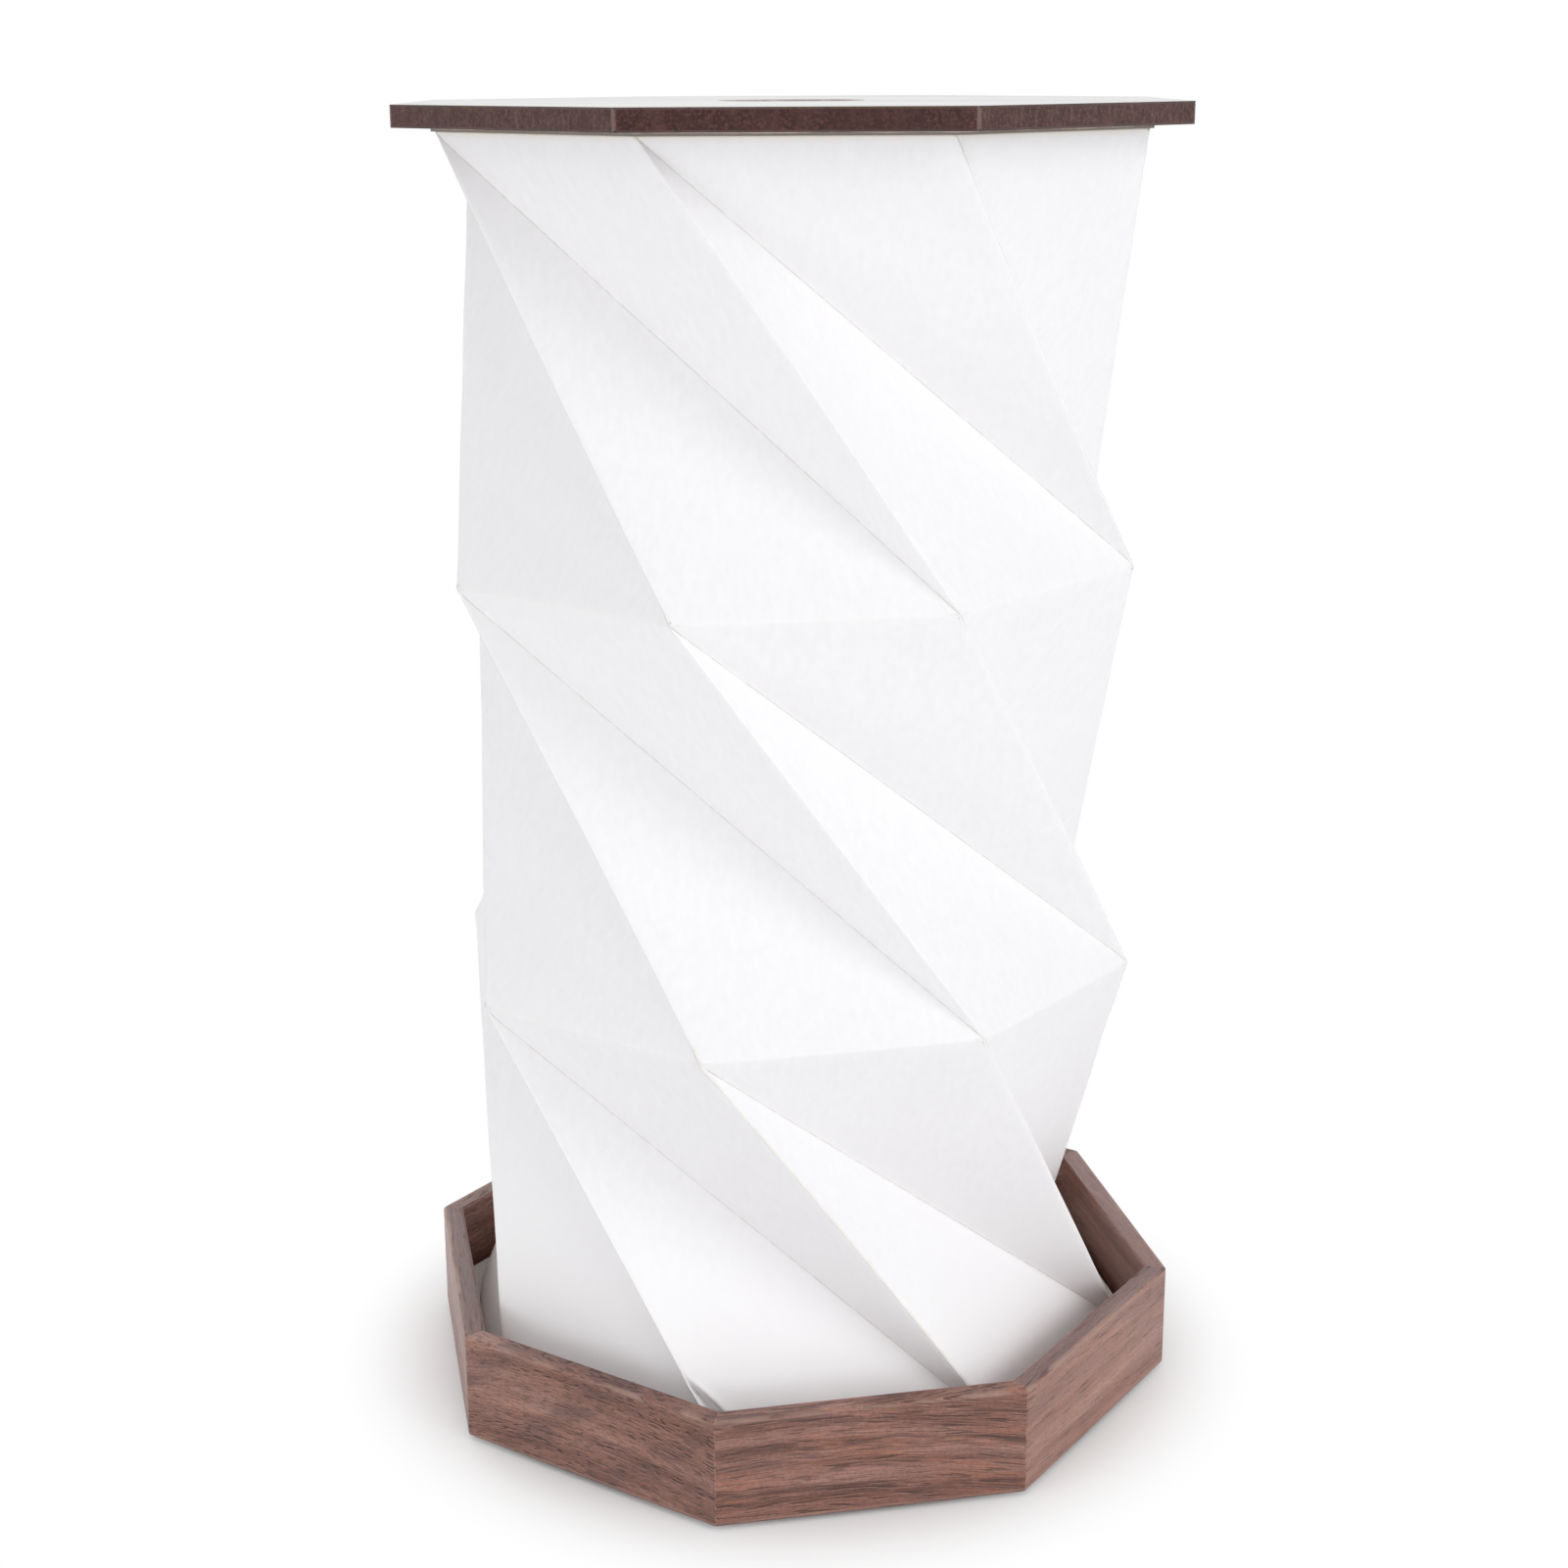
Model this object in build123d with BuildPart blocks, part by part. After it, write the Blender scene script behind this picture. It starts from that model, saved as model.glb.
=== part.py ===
from build123d import *
from math import cos, radians, sin, tan
import os

# Folding bedside lamp: an octagonal walnut tray, a twist-folded paper shade and a wooden lid.
# The lid is lifted out of the tray and the pleated shade unfolds under it, three tiers high.
# Each tier turns as it opens, so the lid stands a few degrees out of line with the tray.
# Millimetres, +Z up, origin on the table under the middle of the lamp, flats of the tray on X and Y.

os.makedirs("parts", exist_ok=True)

# Octagons shared by tray, shade and lid
side_count = 8
side_angle = 360 / side_count
corner_angle = side_angle / 2  # from the middle of a side to its corner

# Walnut tray, eight boards mitred at the corners
tray_width = 120.0  # across the flats
tray_height = 18.1
tray_wall = 3.5
tray_corner_radius = 1.2  # upright outer corners
tray_edge_radius = 0.5  # long edges of the boards
bottom_thickness = 1.8
panel_clearance = 0.1  # round the bottom, in its rabbet

# Feet under the bottom panel
foot_count = 4
foot_height = 0.8
foot_diameter = 9.0
foot_inset = 13.0  # from a flat of the tray to the middle of a foot
foot_chamfer = 0.2

# Floor plate over the electronics bay
bay_clearance = 0.3  # above and below the tallest part in the bay
floor_thickness = 1.0
floor_gap = 1.2  # dark gap round the plate
floor_screw_count = 4
floor_screw_inset = 6.0  # from a flat of the plate to the middle of a screw
floor_boss_diameter = 6.0
wire_hole_width = 6.0
wire_hole_depth = 3.0
wire_hole_radius = 1.0
wire_hole_inset = 5.0  # from the rim of the light board to the middle of the wire hole

# Screws
screw_diameter = 2.0
screw_head_diameter = 3.6
screw_head_angle = 90.0
screw_grip = 2.6  # reach into a long boss
screw_tip = 0.5
screw_clearance = 0.05
screw_recess_width = 0.6
screw_recess_depth = 0.5
pilot_spare = 0.5  # depth of a pilot hole beyond the tip
board_screw_grip = 1.2  # reach into a short boss
board_screw_head_height = 0.9
board_screw_head_chamfer = 0.3

# Folded paper shade
tier_count = 3
tier_height = 66.9
tier_twist = 48.6  # turn of each crease ring against the one below, open
shade_gap = 3.55  # from the side of a crease ring to the tray
paper_thickness = 0.5  # across the wall at the crease rings
flange_width = 8.0  # glued flap at the top and at the bottom
base_card_thickness = 0.5
base_card_width = 10.0
base_card_inset = 0.5  # from the shade's corners to the card's
liner_thickness = 0.6
liner_overhang = 0.5  # past the shade's corners

# Lid
lid_inset = 1.0  # from the tray's flats to the lid's, folded
lid_skin = 0.5  # core left under the magnet
veneer_thickness = 0.3
lid_corner_radius = 0.6
inlay_diameter = 22.6
inlay_thickness = 1.3
inlay_recess = 0.2  # below the top of the lid
inlay_clearance = 0.1
magnet_diameter = 10.0
magnet_thickness = 1.0
magnet_chamfer = 0.1

# Light module
led_board_diameter = 36.0
led_board_thickness = 1.0
led_count = 8
led_inset = 6.0  # from the rim of the light board to the middle of a light
led_length = 3.5
led_width = 2.8
led_height = 0.7
sensor_length = 2.9
sensor_width = 1.6
sensor_height = 1.1
package_chamfer = 0.15  # moulded sensor and chip
diffuser_clearance = 0.8  # round the light board
diffuser_wall = 1.2
diffuser_height = 8.0
diffuser_shoulder = 3.5  # height of the upright part of its side

# Control board and charging socket
socket_width = 8.94
socket_height = 3.2
socket_length = 7.35
socket_wall = 0.3
socket_recess = 0.4  # mouth behind the face of the tray
socket_ear_width = 1.2
socket_ear_length = 2.0
socket_ear_thickness = 0.3
tongue_width = 6.7
tongue_thickness = 0.7
tongue_length = 4.5
tongue_chamfer = 0.15
port_clearance = 0.2
board_width = 44.0
board_depth = 18.0
board_thickness = 0.8
board_gap = 0.5  # from the board to the inside of the tray
board_slot_clearance = 0.15
board_boss_diameter = 5.0
board_boss_spacing = 34.0
board_boss_inset = 5.0  # from the board's inner edge
chip_size = 5.0
chip_height = 1.0

# Battery and leads
battery_width = 52.0
battery_depth = 36.0
battery_thickness = 3.2
battery_gap = 7.0  # from the middle of the wire hole to the battery
battery_corner_radius = 1.2
battery_edge_radius = 0.6
lead_diameter = 1.0
lead_pitch = 3.0
lead_bend_radius = 4.0
lead_rise_radius = 1.5
battery_lead_offset = 14.0  # from the middle of the battery to its leads
lead_step = 4.0  # sideways step of a lead on its way

# Heights
tray_z = foot_height
bay_z = tray_z + bottom_thickness
rim_z = tray_z + tray_height
floor_underside_z = bay_z + max(socket_height, battery_thickness) + 2 * bay_clearance
floor_z = floor_underside_z + floor_thickness
shade_bottom_z = floor_z + base_card_thickness
shade_top_z = shade_bottom_z + tier_count * tier_height
lid_z = shade_top_z + liner_thickness
core_z = lid_z + veneer_thickness
magnet_z = core_z + lid_skin
inlay_z = magnet_z + magnet_thickness
inlay_top_z = inlay_z + inlay_thickness
lid_top_z = inlay_top_z + inlay_recess
top_veneer_z = lid_top_z - veneer_thickness
led_z = floor_z + led_board_thickness
socket_z = bay_z + bay_clearance + socket_height / 2
board_z = socket_z - board_thickness / 2
board_top_z = board_z + board_thickness
head_depth = (screw_head_diameter - screw_diameter) / 2 / tan(radians(screw_head_angle / 2))

# Widths from the middle
corner_reach = 1 / cos(radians(corner_angle))  # corner radius of an octagon of unit half width
tray_inside = tray_width / 2 - tray_wall  # to the inner face of a board
rabbet_inside = tray_width / 2 - tray_wall / 2
bottom_reach = rabbet_inside - panel_clearance
floor_reach = tray_inside - floor_gap
floor_screw_radius = floor_reach - floor_screw_inset
socket_mouth_y = tray_width / 2 - socket_recess
socket_back_y = socket_mouth_y - socket_length
board_outer_y = tray_inside - board_gap
board_inner_y = board_outer_y - board_depth
board_boss_y = board_inner_y + board_boss_inset
wire_hole_y = led_board_diameter / 2 - wire_hole_inset
battery_back_y = wire_hole_y - battery_gap
diffuser_radius = led_board_diameter / 2 + diffuser_clearance + diffuser_wall
shade_radius = (tray_inside - shade_gap) * corner_reach  # crease rings, at the corners
inner_shade_radius = shade_radius - paper_thickness * corner_reach
lid_half_width = tray_width / 2 - lid_inset
lid_turn = -tier_count * tier_twist

# Where the control board is screwed up
board_screw_points = [(side * board_boss_spacing / 2, board_boss_y) for side in (-1, 1)]


# Walnut tray

# The whole ring of boards, before it is cut at the mitres
with BuildPart() as tray_ring:
    with BuildSketch(Plane.XY.offset(tray_z)):
        outline = RegularPolygon(tray_width / 2, side_count, major_radius=False, rotation=corner_angle)
        fillet(outline.vertices(), tray_corner_radius)
        RegularPolygon(
            tray_inside, side_count, major_radius=False, rotation=corner_angle, mode=Mode.SUBTRACT
        )
    extrude(amount=tray_height)
    long_edges = tray_ring.edges().group_by(Axis.Z)
    fillet(long_edges[0] + long_edges[-1], tray_edge_radius)
    with BuildSketch(Plane.XY.offset(tray_z)):
        RegularPolygon(rabbet_inside, side_count, major_radius=False, rotation=corner_angle)
    extrude(amount=bottom_thickness, mode=Mode.SUBTRACT)

side_names = ["right", "back_right", "back", "back_left", "left", "front_left", "front", "front_right"]
wedge_reach = tray_width
for index, side_name in enumerate(side_names):
    middle = index * side_angle
    wedge_corners = [
        (wedge_reach * cos(radians(middle + turn)), wedge_reach * sin(radians(middle + turn)))
        for turn in (-corner_angle, corner_angle)
    ]
    with BuildPart() as tray_side:
        add(tray_ring.part)
        with BuildSketch():
            with BuildLine():
                Polyline((0, 0), *wedge_corners, close=True)
            make_face()
        extrude(amount=rim_z + tray_edge_radius, mode=Mode.INTERSECT)
        if side_name == "back":
            with BuildSketch(Plane.XZ.offset(-tray_width)):
                with Locations((0, socket_z)):
                    SlotOverall(socket_width + 2 * port_clearance, socket_height + 2 * port_clearance)
            extrude(amount=tray_width, mode=Mode.SUBTRACT)
    tray_side.part.label = f"tray_side_{side_name}"
    export_step(tray_side.part, f"parts/tray_side_{side_name}.step")

# Bottom panel, let into the boards and countersunk for the screws that hold the floor plate
with BuildPart() as tray_bottom:
    with BuildSketch(Plane.XY.offset(tray_z)):
        RegularPolygon(bottom_reach, side_count, major_radius=False, rotation=corner_angle)
    extrude(amount=bottom_thickness)
    with Locations(Plane.XY.offset(tray_z).rotated((180, 0, 0))):
        with PolarLocations(floor_screw_radius, floor_screw_count, start_angle=side_angle):
            CounterSinkHole(
                screw_diameter / 2 + screw_clearance,
                screw_head_diameter / 2 + screw_clearance,
                counter_sink_angle=screw_head_angle,
            )
tray_bottom.part.label = "tray_bottom"
export_step(tray_bottom.part, "parts/tray_bottom.step")

# Feet, soft discs with a rounded lower edge
with BuildPart() as foot_blank:
    with BuildSketch():
        Circle(foot_diameter / 2)
    extrude(amount=foot_height)
    chamfer(foot_blank.edges().group_by(Axis.Z)[0], foot_chamfer)

foot_places = PolarLocations(tray_width / 2 - foot_inset, foot_count)
for index, place in enumerate(foot_places):
    with BuildPart() as foot:
        add(foot_blank.part.moved(place))
    foot.part.label = f"foot_{index + 1}"
    export_step(foot.part, f"parts/foot_{index + 1}.step")


# Electronics bay

# Floor plate: a moulded cover on four long bosses, with two short bosses for the control board
with BuildPart() as floor_plate:
    with BuildSketch(Plane.XY.offset(floor_underside_z)):
        RegularPolygon(floor_reach, side_count, major_radius=False, rotation=corner_angle)
    extrude(amount=floor_thickness)
    with BuildSketch(Plane.XY.offset(bay_z)):
        with PolarLocations(floor_screw_radius, floor_screw_count, start_angle=side_angle):
            Circle(floor_boss_diameter / 2)
    extrude(until=Until.NEXT)
    with BuildSketch(Plane.XY.offset(board_top_z)):
        with Locations(*board_screw_points):
            Circle(board_boss_diameter / 2)
    extrude(until=Until.NEXT)
    with BuildSketch(Plane.XY.offset(bay_z)):
        with PolarLocations(floor_screw_radius, floor_screw_count, start_angle=side_angle):
            Circle(screw_diameter / 2 + screw_clearance)
    extrude(amount=screw_grip + pilot_spare, mode=Mode.SUBTRACT)
    with BuildSketch(Plane.XY.offset(board_top_z)):
        with Locations(*board_screw_points):
            Circle(screw_diameter / 2 + screw_clearance)
    extrude(amount=board_screw_grip + pilot_spare, mode=Mode.SUBTRACT)
    with BuildSketch(Plane.XY.offset(floor_z)):
        with Locations((0, wire_hole_y)):
            RectangleRounded(wire_hole_width, wire_hole_depth, wire_hole_radius)
    extrude(amount=-floor_thickness, mode=Mode.SUBTRACT)
floor_plate.part.label = "floor_plate"
export_step(floor_plate.part, "parts/floor_plate.step")

# Screws that come up through the bottom panel, with a cross recess in the head
with BuildPart() as floor_screw:
    with BuildSketch(Plane.XZ):
        with BuildLine():
            tip_z = bay_z + screw_grip
            Polyline(
                (0, tray_z),
                (screw_head_diameter / 2, tray_z),
                (screw_diameter / 2, tray_z + head_depth),
                (screw_diameter / 2, tip_z - screw_tip),
                (screw_diameter / 2 - screw_tip, tip_z),
                (0, tip_z),
                close=True,
            )
        make_face()
    revolve(axis=Axis.Z)
    with BuildSketch(Plane.XY.offset(tray_z)):
        Rectangle(screw_diameter, screw_recess_width)
        Rectangle(screw_recess_width, screw_diameter)
    extrude(amount=screw_recess_depth, mode=Mode.SUBTRACT)

with BuildPart() as floor_screws:
    with PolarLocations(floor_screw_radius, floor_screw_count, start_angle=side_angle):
        add(floor_screw.part)
floor_screws.part.label = "floor_screws"
export_step(floor_screws.part, "parts/floor_screws.step")

# Control board, notched round the socket and hung under the floor plate
with BuildPart() as control_board:
    with BuildSketch(Plane.XY.offset(board_z)):
        with Locations((0, (board_inner_y + board_outer_y) / 2)):
            Rectangle(board_width, board_depth)
        with Locations((0, socket_back_y - board_slot_clearance)):
            Rectangle(
                socket_width + 2 * board_slot_clearance,
                socket_length,
                align=(Align.CENTER, Align.MIN),
                mode=Mode.SUBTRACT,
            )
        with Locations(*board_screw_points):
            Circle(screw_diameter / 2 + screw_clearance, mode=Mode.SUBTRACT)
    extrude(amount=board_thickness)
control_board.part.label = "control_board"
export_step(control_board.part, "parts/control_board.step")

# Pan-head screws that hold the control board to the short bosses
with BuildPart() as board_screws:
    with BuildSketch(Plane.XY.offset(board_z)):
        with Locations(*board_screw_points):
            Circle(screw_head_diameter / 2)
    extrude(amount=-board_screw_head_height)
    chamfer(board_screws.edges().group_by(Axis.Z)[0], board_screw_head_chamfer)
    with BuildSketch(Plane.XY.offset(board_z)):
        with Locations(*board_screw_points):
            Circle(screw_diameter / 2)
    extrude(amount=board_thickness + board_screw_grip)
board_screws.part.label = "board_screws"
export_step(board_screws.part, "parts/board_screws.step")

with BuildPart() as control_chip:
    with BuildSketch(Plane.XY.offset(board_top_z)):
        with Locations((0, board_boss_y)):
            Rectangle(chip_size, chip_size)
    extrude(amount=chip_height)
    chamfer(control_chip.faces().sort_by(Axis.Z)[-1].edges(), package_chamfer)
control_chip.part.label = "control_chip"
export_step(control_chip.part, "parts/control_chip.step")

# Charging socket: a drawn shell with ears on the control board, and its contact tongue
with BuildPart() as socket_shell:
    with BuildSketch(Plane.XZ.offset(-socket_mouth_y)):
        with Locations((0, socket_z)):
            SlotOverall(socket_width, socket_height)
    extrude(amount=socket_length)
    with BuildSketch(Plane.XZ.offset(-socket_mouth_y)):
        with Locations((0, socket_z)):
            SlotOverall(socket_width - 2 * socket_wall, socket_height - 2 * socket_wall)
    extrude(amount=socket_length - socket_wall, mode=Mode.SUBTRACT)
    ear_y = (socket_back_y + board_outer_y) / 2
    ear_reach = socket_width / 2 + socket_ear_width
    with BuildSketch(Plane.XY.offset(board_top_z)):
        for side in (-1, 1):
            with Locations((side * (ear_reach + socket_width / 2 - socket_wall) / 2, ear_y)):
                Rectangle(socket_ear_width + socket_wall, socket_ear_length)
    extrude(amount=socket_ear_thickness)
socket_shell.part.label = "socket_shell"
export_step(socket_shell.part, "parts/socket_shell.step")

with BuildPart() as socket_tongue:
    with BuildSketch(Plane.XZ.offset(-socket_back_y - socket_wall)):
        with Locations((0, socket_z)):
            Rectangle(tongue_width, tongue_thickness)
    extrude(amount=-tongue_length)
    chamfer(socket_tongue.faces().sort_by(Axis.Y)[-1].edges(), tongue_chamfer)
socket_tongue.part.label = "socket_tongue"
export_step(socket_tongue.part, "parts/socket_tongue.step")

# Flat battery, stuck to the bottom panel
with BuildPart() as battery:
    with BuildSketch(Plane.XY.offset(bay_z)):
        with Locations((0, battery_back_y)):
            RectangleRounded(
                battery_width,
                battery_depth,
                battery_corner_radius,
                align=(Align.CENTER, Align.MAX),
            )
    extrude(amount=battery_thickness)
    fillet(battery.edges().group_by(Axis.Z)[-1], battery_edge_radius)
battery.part.label = "battery"
export_step(battery.part, "parts/battery.step")


def lead_along(points, radii):
    """One insulated wire along straight runs joined by arcs."""
    with BuildPart() as lead:
        with BuildLine():
            route = FilletPolyline(*points, radius=radii)
        with BuildSketch(Plane(origin=route @ 0, z_dir=route % 0)):
            Circle(lead_diameter / 2)
        sweep(path=route)
    return lead


lead_colours = {"red": -1, "black": 1}

# Battery leads, from the back of the battery to the edge of the control board
lead_span = board_inner_y - battery_back_y
for colour, side in lead_colours.items():
    start_x = side * lead_pitch / 2 - battery_lead_offset
    battery_lead = lead_along(
        [
            (start_x, battery_back_y, socket_z),
            (start_x, battery_back_y + lead_span / 3, socket_z),
            (start_x + lead_step, battery_back_y + lead_span * 2 / 3, socket_z),
            (start_x + lead_step, board_inner_y, socket_z),
        ],
        lead_bend_radius,
    )
    battery_lead.part.label = f"battery_lead_{colour}"
    export_step(battery_lead.part, f"parts/battery_lead_{colour}.step")

# Light leads, from the control board up through the floor plate to the light board
lead_span = board_inner_y - wire_hole_y
for colour, side in lead_colours.items():
    end_x = side * lead_pitch / 2
    light_lead = lead_along(
        [
            (end_x + lead_step, board_inner_y, socket_z),
            (end_x + lead_step, wire_hole_y + lead_span * 2 / 3, socket_z),
            (end_x, wire_hole_y + lead_span / 3, socket_z),
            (end_x, wire_hole_y, socket_z),
            (end_x, wire_hole_y, floor_z),
        ],
        [lead_bend_radius, lead_bend_radius, lead_rise_radius],
    )
    light_lead.part.label = f"light_lead_{colour}"
    export_step(light_lead.part, f"parts/light_lead_{colour}.step")


# Light module

with BuildPart() as led_board:
    with BuildSketch(Plane.XY.offset(floor_z)):
        Circle(led_board_diameter / 2)
    extrude(amount=led_board_thickness)
led_board.part.label = "led_board"
export_step(led_board.part, "parts/led_board.step")

with BuildPart() as led_blank:
    with BuildSketch(Plane.XY.offset(led_z)):
        Rectangle(led_width, led_length)
    extrude(amount=led_height)

for index, place in enumerate(PolarLocations(led_board_diameter / 2 - led_inset, led_count)):
    with BuildPart() as led_chip:
        add(led_blank.part.moved(place))
    led_chip.part.label = f"led_chip_{index + 1}"
    export_step(led_chip.part, f"parts/led_chip_{index + 1}.step")

# Magnet sensor that switches the light when the lid leaves the tray
with BuildPart() as lid_sensor:
    with BuildSketch(Plane.XY.offset(led_z)):
        Rectangle(sensor_length, sensor_width)
    extrude(amount=sensor_height)
    chamfer(lid_sensor.faces().sort_by(Axis.Z)[-1].edges(), package_chamfer)
lid_sensor.part.label = "lid_sensor"
export_step(lid_sensor.part, "parts/lid_sensor.step")

# Frosted dome over the light board
with BuildPart() as diffuser:
    with BuildSketch(Plane.XZ):
        shoulder_z = floor_z + diffuser_shoulder
        dome_z = floor_z + diffuser_height
        inner_radius = diffuser_radius - diffuser_wall
        with BuildLine():
            TangentArc((0, dome_z), (diffuser_radius, shoulder_z), tangent=(1, 0))
            Polyline(
                (diffuser_radius, shoulder_z),
                (diffuser_radius, floor_z),
                (inner_radius, floor_z),
                (inner_radius, shoulder_z),
            )
            TangentArc((0, dome_z - diffuser_wall), (inner_radius, shoulder_z), tangent=(1, 0))
            Line((0, dome_z - diffuser_wall), (0, dome_z))
        make_face()
    revolve(axis=Axis.Z)
diffuser.part.label = "diffuser"
export_step(diffuser.part, "parts/diffuser.step")


# Folded shade

def ring_corners(level, radius):
    """Corners of a crease ring, level 0 on the tray's floor and one ring for each tier above it."""
    height = shade_bottom_z + level * tier_height
    first = corner_angle - level * tier_twist
    turns = [radians(first + corner * side_angle) for corner in range(side_count)]
    return [Vector(radius * cos(turn), radius * sin(turn), height) for turn in turns]


def folded_tier(level, radius):
    """Solid inside one tier: each side folds into two triangles, along a ridge and a valley crease."""
    low = ring_corners(level, radius)
    high = ring_corners(level + 1, radius)
    faces = [Face(Wire.make_polygon(low)), Face(Wire.make_polygon(high))]
    for corner in range(side_count):
        following = (corner + 1) % side_count
        faces.append(Face(Wire.make_polygon([high[corner], low[corner], low[following]])))
        faces.append(Face(Wire.make_polygon([high[corner], low[following], high[following]])))
    return Solid(Shell(faces))


flange_radius = inner_shade_radius - flange_width * corner_reach

with BuildPart() as shade_hollow:
    for level in range(tier_count):
        add(folded_tier(level, inner_shade_radius))

with BuildPart() as shade:
    for level in range(tier_count):
        add(folded_tier(level, shade_radius))
    add(shade_hollow.part, mode=Mode.SUBTRACT)
    for flange_z, level in ((shade_bottom_z, 0), (shade_top_z - paper_thickness, tier_count)):
        ring_turn = corner_angle - level * tier_twist
        with BuildSketch(Plane.XY.offset(flange_z)):
            RegularPolygon(inner_shade_radius, side_count, rotation=ring_turn)
            RegularPolygon(flange_radius, side_count, rotation=ring_turn, mode=Mode.SUBTRACT)
        extrude(amount=paper_thickness)
shade.part.label = "shade"
export_step(shade.part, "parts/shade.step")

# Card ring that ties the shade's lower flap to the floor plate
base_card_radius = shade_radius - base_card_inset
base_card_hole = base_card_radius - base_card_width * corner_reach
with BuildPart() as shade_base_card:
    with BuildSketch(Plane.XY.offset(floor_z)):
        RegularPolygon(base_card_radius, side_count, rotation=corner_angle)
        RegularPolygon(base_card_hole, side_count, rotation=corner_angle, mode=Mode.SUBTRACT)
    extrude(amount=base_card_thickness)
shade_base_card.part.label = "shade_base_card"
export_step(shade_base_card.part, "parts/shade_base_card.step")


# Lid

# Card liner between the shade's upper flap and the lid
with BuildPart() as lid_liner:
    with BuildSketch(Plane.XY.offset(shade_top_z)):
        RegularPolygon(shade_radius + liner_overhang, side_count, rotation=corner_angle + lid_turn)
    extrude(amount=liner_thickness)
lid_liner.part.label = "lid_liner"
export_step(lid_liner.part, "parts/lid_liner.step")

# Octagon with eased corners, from which the core and both veneers are cut
with BuildSketch() as lid_outline:
    RegularPolygon(lid_half_width, side_count, major_radius=False, rotation=corner_angle + lid_turn)
    fillet(lid_outline.vertices(), lid_corner_radius)

with BuildPart() as lid_bottom_veneer:
    with BuildSketch(Plane.XY.offset(lid_z)):
        add(lid_outline.sketch)
    extrude(amount=veneer_thickness)
lid_bottom_veneer.part.label = "lid_bottom_veneer"
export_step(lid_bottom_veneer.part, "parts/lid_bottom_veneer.step")

# Core, bored from above for the inlay and, under it, the magnet
with BuildPart() as lid_core:
    with BuildSketch(Plane.XY.offset(core_z)):
        add(lid_outline.sketch)
    extrude(amount=top_veneer_z - core_z)
    with Locations((0, 0, top_veneer_z)):
        CounterBoreHole(
            magnet_diameter / 2 + inlay_clearance,
            inlay_diameter / 2 + inlay_clearance,
            top_veneer_z - inlay_z,
            depth=top_veneer_z - magnet_z,
        )
lid_core.part.label = "lid_core"
export_step(lid_core.part, "parts/lid_core.step")

with BuildPart() as lid_top_veneer:
    with BuildSketch(Plane.XY.offset(top_veneer_z)):
        add(lid_outline.sketch)
        Circle(inlay_diameter / 2 + inlay_clearance, mode=Mode.SUBTRACT)
    extrude(amount=veneer_thickness)
lid_top_veneer.part.label = "lid_top_veneer"
export_step(lid_top_veneer.part, "parts/lid_top_veneer.step")

with BuildPart() as lid_inlay:
    with BuildSketch(Plane.XY.offset(inlay_z)):
        Circle(inlay_diameter / 2)
    extrude(amount=inlay_thickness)
lid_inlay.part.label = "lid_inlay"
export_step(lid_inlay.part, "parts/lid_inlay.step")

with BuildPart() as lid_magnet:
    with BuildSketch(Plane.XY.offset(magnet_z)):
        Circle(magnet_diameter / 2)
    extrude(amount=magnet_thickness)
    chamfer(lid_magnet.edges(), magnet_chamfer)
lid_magnet.part.label = "lid_magnet"
export_step(lid_magnet.part, "parts/lid_magnet.step")
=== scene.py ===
# %% [markdown]
# This bedside lamp folds flat. It has a tray of eight mitred walnut boards, a white sheet that is folded
# into three turning tiers, and a thin dark lid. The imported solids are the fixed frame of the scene. They
# could be modelled again by hand, but loading them keeps each finish and each new piece in one shared
# place, in metres.

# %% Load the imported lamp
import math
import bpy
import numpy as np
from mathutils import Matrix, Vector, noise


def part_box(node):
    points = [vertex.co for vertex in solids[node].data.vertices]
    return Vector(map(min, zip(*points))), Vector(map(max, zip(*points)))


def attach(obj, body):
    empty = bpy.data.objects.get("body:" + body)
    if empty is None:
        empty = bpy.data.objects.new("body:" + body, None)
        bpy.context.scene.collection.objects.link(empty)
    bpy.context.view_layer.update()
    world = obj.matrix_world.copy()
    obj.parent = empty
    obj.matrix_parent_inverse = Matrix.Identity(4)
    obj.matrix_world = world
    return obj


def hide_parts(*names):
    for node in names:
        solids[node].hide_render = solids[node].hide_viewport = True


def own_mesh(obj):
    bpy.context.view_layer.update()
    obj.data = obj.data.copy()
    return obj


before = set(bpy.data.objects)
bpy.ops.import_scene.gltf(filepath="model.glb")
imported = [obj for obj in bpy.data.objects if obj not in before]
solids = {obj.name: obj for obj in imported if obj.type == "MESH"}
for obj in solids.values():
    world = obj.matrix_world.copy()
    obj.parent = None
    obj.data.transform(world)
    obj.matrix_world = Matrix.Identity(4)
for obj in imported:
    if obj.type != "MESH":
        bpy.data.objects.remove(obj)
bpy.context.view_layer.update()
mm = 0.001

# %% [markdown]
# The picture is taken from a little above the lid, and slightly to the left of the front board. The camera
# could be aimed by a constraint, but then its small roll would be lost. Three angles and a place say the
# same thing in plain numbers, and the matrix is put together from the three directions that they give.

# %% Camera
eye = Vector((-0.08094, -0.39900, 0.21807))
yaw, pitch, roll = (math.radians(angle) for angle in (11.244, -15.924, -0.263))
ahead = Vector((math.sin(yaw) * math.cos(pitch), math.cos(yaw) * math.cos(pitch), math.sin(pitch)))
level_side = Vector((math.cos(yaw), -math.sin(yaw), 0))
level_up = level_side.cross(ahead)
view_side = math.cos(roll) * level_side + math.sin(roll) * level_up
view_up = math.cos(roll) * level_up - math.sin(roll) * level_side
view_turn = Matrix((view_side, view_up, -ahead)).transposed().to_4x4()
camera = bpy.data.objects.new("photo_view", bpy.data.cameras.new("photo_view"))
camera.data.sensor_width = 36
camera.data.lens = 58.011
camera.data.clip_start = 0.01
camera.data.clip_end = 50
camera.matrix_world = Matrix.Translation(eye) @ view_turn
bpy.context.scene.collection.objects.link(camera)
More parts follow.
